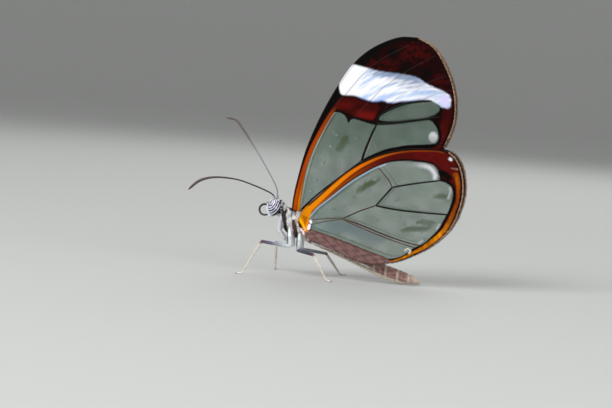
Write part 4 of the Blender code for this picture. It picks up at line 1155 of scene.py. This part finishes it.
class StageLooks(bpy.types.PropertyGroup):
    """The view and the studio"""

    azimuth: FloatProperty(name="Azimuth", description="Turn of the view round the insect",
                           default=math.radians(9.0), subtype="ANGLE")
    elevation: FloatProperty(name="Elevation", description="Height of the view over the floor",
                             default=math.radians(3.4), subtype="ANGLE")
    roll: FloatProperty(name="Roll", description="Lean of the view", default=math.radians(4.3),
                        subtype="ANGLE")
    floor: FloatVectorProperty(name="Floor", description="Plain pale floor", default=(0.5, 0.51, 0.5),
                               subtype="COLOR", size=3)
    key: FloatProperty(name="Key light", description="Power of the main soft light", default=2.2,
                       unit="POWER")
    fill: FloatProperty(name="Fill light", description="Power of the soft light opposite", default=0.65,
                        unit="POWER")
    sky: FloatProperty(name="Sky", description="Strength of the even light all round", default=0.5, min=0.0)


def stood_at(name, data, level, up, back, place):
    """A camera or a light whose own axes are these three, at a place given in millimetres."""
    made = bpy.data.objects.new(name, data)
    bpy.context.scene.collection.objects.link(made)
    pose = np.eye(4)
    pose[:3] = np.stack([level, up, back, np.array(place) * MM], axis=1)
    made.matrix_world = Matrix(pose.tolist())
    return made


class GLASSWING_OT_stage(bpy.types.Operator):
    """Makes the floor, the soft lights and the camera"""

    bl_idname = "glasswing.stage"
    bl_label = "Stage"

    def execute(self, context):
        """Builds the floor, the camera, three soft lights and the even light all round."""
        looks = context.scene.glasswing_stage
        self.make_floor(looks)
        self.make_camera(context, looks)
        for name, place, size in LIGHTS:
            self.make_light(name, place, size, looks.key if name == "key_light" else looks.fill)
        world = bpy.data.worlds.new("studio")
        world.use_nodes = True
        world.node_tree.nodes["Background"].inputs["Color"].default_value = (1.0, 1.0, 1.0, 1.0)
        world.node_tree.nodes["Background"].inputs["Strength"].default_value = looks.sky
        context.scene.world = world
        context.scene.view_settings.view_transform = "Standard"
        return {"FINISHED"}

    @staticmethod
    def make_floor(looks):
        """A round floor that curves up into a wall far off: the profile turned about the upright axis."""
        profile = curve_through(FLOOR_PROFILE, FLOOR_ROWS + 1)[1:]
        angle = np.arange(FLOOR_SIDES) * 2 * math.pi / FLOOR_SIDES
        spoke = np.stack([np.cos(angle), np.sin(angle)], axis=1)
        rings = np.concatenate([profile[:, None, :1] * spoke[None],
                                np.broadcast_to(profile[:, None, 1:], (FLOOR_ROWS, FLOOR_SIDES, 1))], axis=2)
        place = np.arange(FLOOR_ROWS * FLOOR_SIDES).reshape(FLOOR_ROWS, FLOOR_SIDES)
        beside = np.roll(place, -1, axis=1)
        walls = np.stack([place[:-1], place[1:], beside[1:], beside[:-1]], axis=-1).reshape(-1, 4)
        middle = np.stack([np.full(FLOOR_SIDES, FLOOR_ROWS * FLOOR_SIDES), place[0], beside[0]], axis=1)
        points = np.concatenate([rings.reshape(-1, 3), [(0.0, 0.0, 0.0)]])
        made = bpy.data.materials.new("pale_floor")
        made.use_nodes = True
        made.node_tree.nodes["Principled BSDF"].inputs["Base Color"].default_value = (*looks.floor, 1.0)
        made.node_tree.nodes["Principled BSDF"].inputs["Roughness"].default_value = 0.9
        floor = add_piece("studio_floor", points, [walls, middle], made)
        floor.parent = None

    @staticmethod
    def make_camera(context, looks):
        """The camera stands back from its target and leans by the roll about its line of sight."""
        lens = bpy.data.cameras.new("view")
        lens.sensor_width = SENSOR_WIDTH
        lens.lens = SENSOR_WIDTH * VIEW_DISTANCE / VIEW_WIDTH
        lens.clip_start = 0.01
        lens.clip_end = 20.0
        back = np.array([math.sin(looks.azimuth) * math.cos(looks.elevation),
                         -math.cos(looks.azimuth) * math.cos(looks.elevation), math.sin(looks.elevation)])
        level = np.array([math.cos(looks.azimuth), math.sin(looks.azimuth), 0.0])
        up = np.cross(back, level)
        right = math.cos(looks.roll) * level + math.sin(looks.roll) * up
        top = -math.sin(looks.roll) * level + math.cos(looks.roll) * up
        place = np.array(VIEW_TARGET) + back * VIEW_DISTANCE
        context.scene.camera = stood_at("view", lens, right, top, back, place)

    @staticmethod
    def make_light(name, place, size, power):
        """A square soft light that looks at the insect's middle."""
        lamp = bpy.data.lights.new(name, "AREA")
        lamp.size = size * MM
        lamp.energy = power
        aim = np.array(LIGHT_TARGET) - np.array(place)
        back = -aim / np.linalg.norm(aim)
        level = np.cross((0.0, 0.0, 1.0), back)
        level /= np.linalg.norm(level)
        stood_at(name, lamp, level, np.cross(back, level), back, place)


class GLASSWING_OT_wings(bpy.types.Operator):
    """Makes the four wings: a painted leaf, its veins and its fringe"""

    bl_idname = "glasswing.wings"
    bl_label = "Wings"

    def execute(self, context):
        """Builds leaf, veins and fringe of each wing; both sides share one painting."""
        looks = context.scene.glasswing_wings
        film = painted_material("wing_film", roughness=0.3, grain_scale=9000.0, grain=0.45, bump=0.3,
                                clear=looks.clearness, specular=0.06)
        horn = painted_material("vein_horn", roughness=0.5, grain_scale=9000.0, grain=0.3, bump=0.3,
                                specular=0.15)
        soft = painted_material("fringe_scales", roughness=0.7, grain_scale=9000.0, grain=0.2, bump=0.0,
                                specular=0.15)
        offsets = wing_offsets()
        # Name, front line, hind line, paint, veins, size of the front vein and lean of the tip
        kinds = (
            ("forewing", FOREWING_COSTA, FOREWING_HIND, forewing_paint, FOREWING_VEINS, FOREWING_RIM,
             TIP_LEAN),
            ("hindwing", HINDWING_COSTA, HINDWING_HIND, hindwing_paint, HINDWING_VEINS, HINDWING_RIM, 0.0),
        )
        for kind, costa, hind, paint, veins, rim, tip_lean in kinds:
            painting = None
            front = costa[: 10 if kind == "forewing" else 8]
            for side, word in SIDES:
                node = f"{kind}_{word}"
                rings, inner = wing_leaf(costa, hind, offsets[kind], tip_lean, side, looks)
                points, faces = closed_skin(rings)
                if painting is None:
                    inner = np.concatenate([inner, [False, False]])
                    painting = paint(points[:, [0, 2]], inner, looks)
                add_piece(f"{node}_leaf", points, facing_out(points, faces), film,
                          np.clip(painting[0], 0, 1),
                          np.clip(painting[1], 0, 1), stands_for=(node,))
                tubes = vein_tubes((*veins, (rim, front)), offsets[kind], tip_lean, side,
                                   looks.vein_thickness)
                parts = [(tube[0], tube[1],
                          vein_tint(kind, tube[0], tube[2], tube[3], looks)) for tube in tubes]
                points, faces, tint = joined(parts)
                add_piece(f"{node}_veins", points, faces, horn, tint)
                fringe = self.fringe(kind, costa, hind, offsets[kind], tip_lean, side, looks)
                add_piece(f"{node}_fringe", fringe[0], [fringe[1]], soft, fringe[2])
        return {"FINISHED"}

    @staticmethod
    def fringe(kind, costa, hind, offset, tip_lean, side, looks):
        """Fringe on the free margin: the forewing's outer edge, or the hindwing's outer and hind edges."""
        if kind == "forewing":
            line, above, below, seed = FOREWING_MARGIN, 0.0, 0.0, 71
        else:
            line, above, below, seed = costa[6:] + hind[:-1][::-1], 15.7, 3.0, 72

        def keep(plan):
            """True on the part of the line that has a fringe, upper and lower half apart."""
            return plan[:, 0] > np.where(plan[:, 1] > 12, above, below)

        return fringe_vanes(line, keep, offset, tip_lean, side, looks, seed)


class GLASSWING_OT_body(bpy.types.Operator):
    """Makes the one skin of head, thorax and abdomen"""

    bl_idname = "glasswing.body"
    bl_label = "Body"

    def execute(self, context):
        """Builds the skin from rings and paints it with the same rule as the coat."""
        looks = context.scene.glasswing_body
        skin = painted_material("body_skin", roughness=0.75, grain_scale=14000.0, grain=0.6, bump=0.6,
                                specular=0.15)
        rings = body_rings(looks.skin_rows, looks.skin_sides)
        points, faces = closed_skin(rings)
        points[:, 2] = np.maximum(points[:, 2], 0.0)
        add_piece("body_skin", points, facing_out(points, faces), skin,
                  np.clip(body_tint(points, looks), 0, 1),
                  stands_for=("thorax", "abdomen", "head"))
        return {"FINISHED"}


class GLASSWING_OT_coat(bpy.types.Operator):
    """Makes the fur of head and thorax and the scales of the abdomen"""

    bl_idname = "glasswing.coat"
    bl_label = "Coat"

    def execute(self, context):
        """Builds the three parts of the coat, each from its own rule."""
        looks = context.scene.glasswing_body
        fur = painted_material("scaly_fur", roughness=0.65, grain_scale=20000.0, grain=0.3, bump=0.0,
                               sheen=0.1, specular=0.2)
        rows, sides = looks.skin_rows, looks.skin_sides
        long = looks.fur_length / MM
        # Name, where along the body, count, length, width, lift, seed and slot
        coats = (
            ("thorax_fur", lambda x: (x > HEAD_FROM - 0.1) & (x < ABDOMEN_FROM), looks.thorax_vanes,
             lambda roots: np.full(len(roots), long), 0.085, 0.36, 61, "body_fur"),
            ("head_fur", lambda x: x <= HEAD_FROM, looks.head_vanes,
             lambda roots: np.interp(roots[:, 0], (-7.8, -7.2, -6.0), (0.3, 0.28, 0.36)), 0.08, 0.6, 62,
             "body_fur"),
            ("abdomen_scales", lambda x: x >= ABDOMEN_FROM, looks.abdomen_vanes,
             lambda roots: np.interp(roots[:, 0], (-2.2, 0, 13), (0.4, 0.26, 0.2)), 0.12, 0.12, 63,
             "abdomen_scales"),
        )
        for name, chosen, count, length, width, lift, seed, slot in coats:
            points, faces, tint, uv = coat_on_body(rows, sides, chosen, count, length, width, lift, seed,
                                                   looks)
            points[:, 2] = np.maximum(points[:, 2], 0.0)
            add_piece(name, points, [faces], fur, tint, corner_uv=uv[faces.ravel()])
        return {"FINISHED"}


class GLASSWING_OT_eyes(bpy.types.Operator):
    """Makes the striped eyes"""

    bl_idname = "glasswing.eyes"
    bl_label = "Eyes"

    def execute(self, context):
        """Builds an eye on each side."""
        glass = painted_material("striped_eye", roughness=0.22, grain_scale=30000.0, grain=0.1, bump=0.05,
                                 coat=0.6)
        for side, word in SIDES:
            points, faces = self.eyeball(side)
            add_piece(f"striped_eye_{word}", points, facing_out(points, faces), glass, self.stripes(points),
                      stands_for=(f"eye_{word}",))
        return {"FINISHED"}

    @staticmethod
    def eyeball(side):
        """An oval ball: centre + (a cos u cos v, b sin v, c sin u cos v), pitched forward."""
        latitude = np.linspace(-math.pi / 2, math.pi / 2, EYE_ROWS + 2)[1:-1]
        angle = np.arange(EYE_SIDES) * 2 * math.pi / EYE_SIDES
        forward = np.array([math.cos(EYE_PITCH), 0, -math.sin(EYE_PITCH)]) * EYE_SIZE[0]
        lean = np.array([math.sin(EYE_PITCH), 0, math.cos(EYE_PITCH)]) * EYE_SIZE[2]
        flat = np.cos(angle)[:, None] * forward + np.sin(angle)[:, None] * lean
        rings = np.cos(latitude)[:, None, None] * flat[None]
        rings = rings + np.sin(latitude)[:, None, None] * np.array([0, side * EYE_SIZE[1], 0])
        centre = np.array(EYE_CENTRE) * (1, side, 1)
        return closed_skin(rings + centre)

    @staticmethod
    def stripes(points):
        """White to lilac with dark rings about a centre up in front, broken by soft blotches."""
        plan = points[:, [0, 2]]
        away = np.linalg.norm((plan - np.array(STRIPE_CENTRE)) * (1.25, 1.0), axis=1)
        wave = np.sin(2 * math.pi * away / STRIPE_STEP)
        broken = cloud(plan, 0.7, 81) * 0.45
        dark = smooth(wave + broken + 0.35 * smooth(away, 0.9, 1.5), 0.0, 0.3) * smooth(away, 0.1, 0.3)
        rim = smooth(away, 1.95, 2.1)
        pale = np.array(EYE_LILAC) * (1 - 0.15 * cloud(plan, 0.8, 82))[:, None]
        low = smooth(8.6 - plan[:, 1], 0, 0.7)[:, None]
        pale = pale * (1 - low) + np.array(EYE_BLUE) * low
        mask = np.maximum(dark, rim)[:, None]
        return np.clip(pale * (1 - mask) + np.array(EYE_DARK) * mask, 0, 1)


class GLASSWING_OT_mouthparts(bpy.types.Operator):
    """Makes the coiled tongue and the two palps"""

    bl_idname = "glasswing.mouthparts"
    bl_label = "Mouthparts"

    def execute(self, context):
        """Builds the tongue as one tube along its coil, and a scaled palp on each side."""
        looks = context.scene.glasswing_limbs
        horn = painted_material("tongue_horn", roughness=0.28, grain_scale=20000.0, grain=0.2, bump=0.1,
                                coat=0.3)
        fur = painted_material("palp_scales", roughness=0.65, grain_scale=20000.0, grain=0.3, bump=0.0,
                               sheen=0.15)
        angle = np.linspace(*TONGUE_SWEEP, TONGUE_ROWS)
        radius = TONGUE_RADIUS * (1 - 0.02 * (angle - angle[0]))
        coil = np.stack([TONGUE_CENTRE[0] + radius * np.cos(angle), 0.04 * (angle - angle[0]),
                         TONGUE_CENTRE[1] + radius * np.sin(angle)], axis=1)
        root = np.linspace((-7.45, 0.0, coil[0][2] - 0.12), coil[0], 14)[:-1]
        path = spread_evenly(np.concatenate([root, coil]), 300)
        share = np.linspace(0, 1, len(path))
        thick = TONGUE_THICKNESS / 2 * np.interp(share, (0, 0.1, 0.8, 1), (0.9, 1.0, 0.85, 0.5))
        thick = thick * (1 + 0.06 * np.sin(share * 2 * math.pi * TONGUE_COILS))
        points, faces = closed_skin(rings_along(path, thick, thick, TUBE_SIDES))
        tint = np.tile(np.array(looks.horn), (len(points), 1))
        add_piece("coiled_tongue", points, facing_out(points, faces), horn, tint,
                  stands_for=("proboscis",))
        for side, word in SIDES:
            path = curve_through([(x, side * y, z) for x, y, z in PALP_LINE], 70)
            share = np.linspace(0, 1, len(path))
            thick = np.interp(share, (0, 0.15, 0.6, 0.72, 0.78, 1), (0.12, 0.16, 0.15, 0.11, 0.1, 0.03))
            points, faces = closed_skin(rings_along(path, thick, thick, FINE_SIDES))
            tint = palp_tint(points, looks)
            scales = limb_scales(path, thick, count=900, length=(0.16, 0.26), width=0.07, lift=0.45,
                                 seed=90 + side, tint=lambda p: palp_tint(p, looks))
            points, faces, tint = joined([(points, faces, tint), scales])
            add_piece(f"scaled_palp_{word}", points, faces, fur, tint,
                      stands_for=(f"palp_{word}",))
        return {"FINISHED"}


def palp_tint(points, looks):
    """White palps with a black front edge and tip."""
    dark = smooth(points[:, 2], 9.15, 9.4)
    front = smooth(-points[:, 0] - 8.08 + 0.1 * (points[:, 2] - 8.5), 0, 0.08) * 0.8
    mask = np.maximum(dark, front)[:, None]
    return np.array(looks.pale) * 1.1 * (1 - mask) + np.array(looks.horn) * 2 * mask


def limb_scales(path, radius, count, length, width, lift, seed, tint):
    """Vanes strewn round a limb, lying towards its end, as one (points, faces, tint) part."""
    rng = np.random.default_rng(seed)
    tangent, across, up = frames_along(path)
    size = np.broadcast_to(radius, len(path))
    place = rng.choice(len(path), count, p=size / size.sum())
    angle = rng.uniform(0, 2 * math.pi, count)
    normal = np.cos(angle)[:, None] * across[place] + np.sin(angle)[:, None] * up[place]
    roots = path[place] + normal * (size[place] * 0.9)[:, None]
    lie = tangent[place] + rng.normal(0, 0.15, (count, 3))
    lie -= (lie * normal).sum(axis=1)[:, None] * normal
    lie /= np.linalg.norm(lie, axis=1)[:, None]
    long = rng.uniform(*length, count)
    points, faces = tapered_vanes(roots, lie, normal, long, width * rng.uniform(0.7, 1.3, count),
                                  np.full(count, lift), lift * 0.5)
    colours = np.clip(tint(roots) * rng.uniform(0.75, 1.25, count)[:, None], 0, 1)
    return points, [faces], np.repeat(colours, VANE_POINTS, axis=0)


class GLASSWING_OT_antennae(bpy.types.Operator):
    """Makes the two feelers"""

    bl_idname = "glasswing.antennae"
    bl_label = "Feelers"

    def execute(self, context):
        """Builds each feeler as a ringed tube that swells to a club."""
        looks = context.scene.glasswing_limbs
        horn = painted_material("feeler_horn", roughness=0.5, grain_scale=16000.0, grain=0.4, bump=0.2)
        thin, club = looks.antenna_radius / MM, looks.club_radius / MM
        for word, line in (("left", ANTENNA_LEFT), ("right", ANTENNA_RIGHT)):
            path = curve_through(line, 420)
            share = np.linspace(0, 1, len(path))
            thick = np.interp(share, (0, 0.03, 0.06, 0.45, 0.68, 0.86, 0.96, 1),
                              (1.5, 1.5, 1.0, 1.0, 1.35, 2.0, 1.7, 0.6))
            thick = thick * thin * (1 if word == "left" else 0.92)
            ringed = 1 - 0.12 * np.abs(np.sin(share * math.pi * FEELER_RINGS)) ** 6
            thick = np.minimum(thick, club) * ringed
            points, faces = closed_skin(rings_along(path, thick, thick, FINE_SIDES))
            tint = self.tint(path, word, looks)
            add_piece(f"feeler_{word}", points, facing_out(points, faces), horn, tint,
                      stands_for=(f"antenna_{word}",))
        return {"FINISHED"}

    @staticmethod
    def tint(path, word, looks):
        """The left feeler is dark; the right one has pale scales up to its dark club."""
        share = np.concatenate([np.repeat(np.linspace(0, 1, len(path)), FINE_SIDES), [0, 1]])
        dark = np.array(looks.horn) * 2.0
        if word == "left":
            pale = smooth(0.07 - share, 0, 0.04)
        else:
            pale = 0.55 * smooth(0.72 - share, 0, 0.25) + 0.12
        brown = np.array(FEELER_BROWN) * smooth(share, 0.4, 0.8)[:, None]
        ringed = (0.8 + 0.2 * np.sin(share * 2 * math.pi * FEELER_RINGS))[:, None]
        bare = (dark + brown) * (1 - pale[:, None])
        return np.clip(bare + np.array(FEELER_PALE) * pale[:, None], 0, 1) * ringed


class GLASSWING_OT_legs(bpy.types.Operator):
    """Makes the four walking legs and the two small front legs"""

    bl_idname = "glasswing.legs"
    bl_label = "Legs"

    def execute(self, context):
        """Builds the four long legs from their joints, then the front pair."""
        looks = context.scene.glasswing_limbs
        scaled = painted_material("leg_scales", roughness=0.55, grain_scale=18000.0, grain=0.35, bump=0.3)
        for number, (node, joints) in enumerate(LEG_JOINTS.items()):
            self.make_leg(node, joints, number, scaled, looks)
        for side, word in SIDES:
            self.make_foreleg(side, word, scaled, looks)
        return {"FINISHED"}

    @staticmethod
    def make_leg(node, joints, number, finish, looks):
        """Hip, thigh and shin as one tapering tube, then a foot of short joints with a pair of claws."""
        joints = np.array(joints)
        hip, middle, knee_under, knee, ankle = joints
        out = ankle - knee
        out[2] = 0.0
        out /= np.linalg.norm(out)
        toe = ankle + out * FOOT_LENGTH
        toe[2] = 0.1
        path = rounded_corners([hip, middle, knee_under, knee, ankle, toe], 0.22, 330)
        run = run_along(path)
        steps = run_along(np.array([*joints, toe]))
        steps = steps * run[-1] / steps[-1]
        thigh, shin = looks.thigh_radius / MM, looks.shin_radius / MM
        foot_from = steps[3] + 0.55 * (steps[4] - steps[3])
        stops = (0, 0.45 * steps[1], steps[1], steps[2] - 0.25, steps[2] + 0.2, steps[2] + 1.2,
                 steps[3] - 0.3,
                 steps[3] + 0.15, steps[3] + 0.8, foot_from, foot_from + 0.1, run[-1] - 0.1, run[-1])
        sizes = (0.08, 0.22, 0.35, 0.27, thigh * 0.9, thigh, thigh * 0.9, shin * 0.85, shin, shin * 0.85,
                 shin * 0.72, 0.1, 0.05)
        thick = np.interp(run, stops, sizes)
        joint = (run - foot_from) / (run[-1] - foot_from) * 5
        pinch = np.exp(-(((joint + 0.5) % 1 - 0.5) / 0.09) ** 2) * (run > foot_from)
        thick = thick * (1 - 0.22 * pinch)
        points, faces = closed_skin(rings_along(path, thick, thick, TUBE_SIDES))
        hind = "hind" in node
        colours = leg_tint(run, steps, hind, joints[0][1] > 0, looks)

        def tint_at(roots):
            """The leg's colour at the nearest place of its path, with a painted shadow on the front edge of
            the hip.
            """
            nearest = np.argmin(np.linalg.norm(roots[:, None] - path[None, ::3], axis=2), axis=1) * 3
            ahead = (path[nearest, 0] - roots[:, 0]) / thick[nearest]
            shade = smooth(ahead, 0.2, 0.5) * smooth(steps[2] - 0.3 - run[nearest], 0, 0.3)
            return mixed(shade * 0.9, colours[nearest], HIP_SHADE)

        tint = tint_at(points)

        scales = limb_scales(path[:-20], thick[:-20], count=3800, length=(0.12, 0.24), width=0.065,
                             lift=0.35, seed=100 + number, tint=tint_at)
        parts = [(points, faces, tint), scales]
        for turn in (-1, 1):
            sideways = np.array([-out[1], out[0], 0.0]) * turn
            tip = toe + out * 0.05
            claw = curve_through([tip, tip + sideways * 0.08 + out * 0.08,
                                  tip + sideways * 0.13 + out * 0.19 - np.array([0, 0, 0.05])], 14)
            size = np.linspace(0.045, 0.012, 14)
            claw_points, claw_faces = closed_skin(rings_along(claw, size, size, 8))
            parts.append((claw_points, claw_faces, np.array(looks.horn)))
        points, faces, tint = joined(parts)
        points[:, 2] = np.maximum(points[:, 2], 0.0)
        add_piece(f"scaled_{node}", points, faces, finish, np.clip(tint, 0, 1),
                  stands_for=(node,))

    @staticmethod
    def make_foreleg(side, word, finish, looks):
        """The front leg is a short furred strap folded against the chest."""
        path = rounded_corners([(x, side * y, z) for x, y, z in FORELEG_JOINTS], 0.2, 120)
        share = np.linspace(0, 1, len(path))
        thick = np.interp(share, (0, 0.1, 0.5, 0.62, 0.9, 1), (0.2, 0.22, 0.2, 0.17, 0.15, 0.05))
        points, faces = closed_skin(rings_along(path, thick, thick * 1.1, FINE_SIDES))
        white = np.array(looks.pale) * (1.12, 1.08, 1.12)
        scales = limb_scales(path, thick, count=1300, length=(0.14, 0.26), width=0.07, lift=0.35,
                             seed=120 + side, tint=lambda roots: np.tile(white, (len(roots), 1)))
        points, faces, tint = joined([(points, faces, white * 0.8), scales])
        add_piece(f"folded_foreleg_{word}", points, faces, finish, np.clip(tint, 0, 1),
                  stands_for=(f"leg_fore_{word}",))


def leg_tint(run, steps, hind, far, looks):
    """Along a leg: white hip, slate or bluish thigh, a rusty knee, and a cream shin and foot."""
    pale, slate, cream = (np.array(colour) for colour in (looks.pale, looks.slate, looks.cream))
    rust = np.array(KNEE_RUST)
    # painted light: the far legs stand in shade, so their thighs are painted paler
    if far:
        slate = slate * 0.4 + pale * 0.5
    if hind:
        stops = (0, steps[2] - 0.5, steps[2] + 0.1, steps[3] - 0.35, steps[3] - 0.05, steps[3] + 0.25,
                 run[-1])
        row = (pale * 1.15, pale * 1.1, slate, slate * 0.6, rust, cream, cream * 0.9)
    else:
        stops = (0, steps[2] - 0.1, steps[2] + 0.8, steps[3] - 1.3, steps[3] - 0.2, steps[3] + 0.05,
                 steps[3] + 0.4, run[-1])
        row = (pale * 1.15, pale * 1.15, pale, slate * 1.6, slate * 1.2, rust, cream, cream * 0.9)
    return np.stack([np.interp(run, stops, np.array(row)[:, channel]) for channel in range(3)], axis=1)


class GLASSWING_PT_panel(bpy.types.Panel):
    """Lists the steps that build the butterfly, with their settings"""

    bl_label = "Glasswing"
    bl_idname = "GLASSWING_PT_panel"
    bl_space_type = "VIEW_3D"
    bl_region_type = "UI"
    bl_category = "Glasswing"

    def draw(self, context):
        """Shows a button for each step and a box for each group of settings."""
        for operator in OPERATORS:
            self.layout.operator(operator.bl_idname)
        for name in SETTINGS:
            group = getattr(context.scene, name)
            box = self.layout.box()
            for prop in group.bl_rna.properties.keys():
                if prop not in {"rna_type", "name"}:
                    box.prop(group, prop)


OPERATORS = (
    GLASSWING_OT_stage,
    GLASSWING_OT_wings,
    GLASSWING_OT_body,
    GLASSWING_OT_coat,
    GLASSWING_OT_eyes,
    GLASSWING_OT_mouthparts,
    GLASSWING_OT_antennae,
    GLASSWING_OT_legs,
)
SETTINGS = {
    "glasswing_wings": WingLooks,
    "glasswing_body": BodyLooks,
    "glasswing_limbs": LimbLooks,
    "glasswing_stage": StageLooks,
}


def register():
    """Makes the settings, the operators and the panel known."""
    for group in SETTINGS.values():
        bpy.utils.register_class(group)
    for name, group in SETTINGS.items():
        setattr(bpy.types.Scene, name, PointerProperty(type=group))
    for operator in OPERATORS:
        bpy.utils.register_class(operator)
    bpy.utils.register_class(GLASSWING_PT_panel)


def unregister():
    """Takes them away again, last first."""
    bpy.utils.unregister_class(GLASSWING_PT_panel)
    for operator in reversed(OPERATORS):
        bpy.utils.unregister_class(operator)
    for name, group in SETTINGS.items():
        delattr(bpy.types.Scene, name)
        bpy.utils.unregister_class(group)


def main():
    """Builds every piece in order."""
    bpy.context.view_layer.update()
    register()
    bpy.ops.glasswing.stage()
    bpy.ops.glasswing.wings()
    bpy.ops.glasswing.body()
    bpy.ops.glasswing.coat()
    bpy.ops.glasswing.eyes()
    bpy.ops.glasswing.mouthparts()
    bpy.ops.glasswing.antennae()
    bpy.ops.glasswing.legs()


if __name__ == "__main__":
    main()
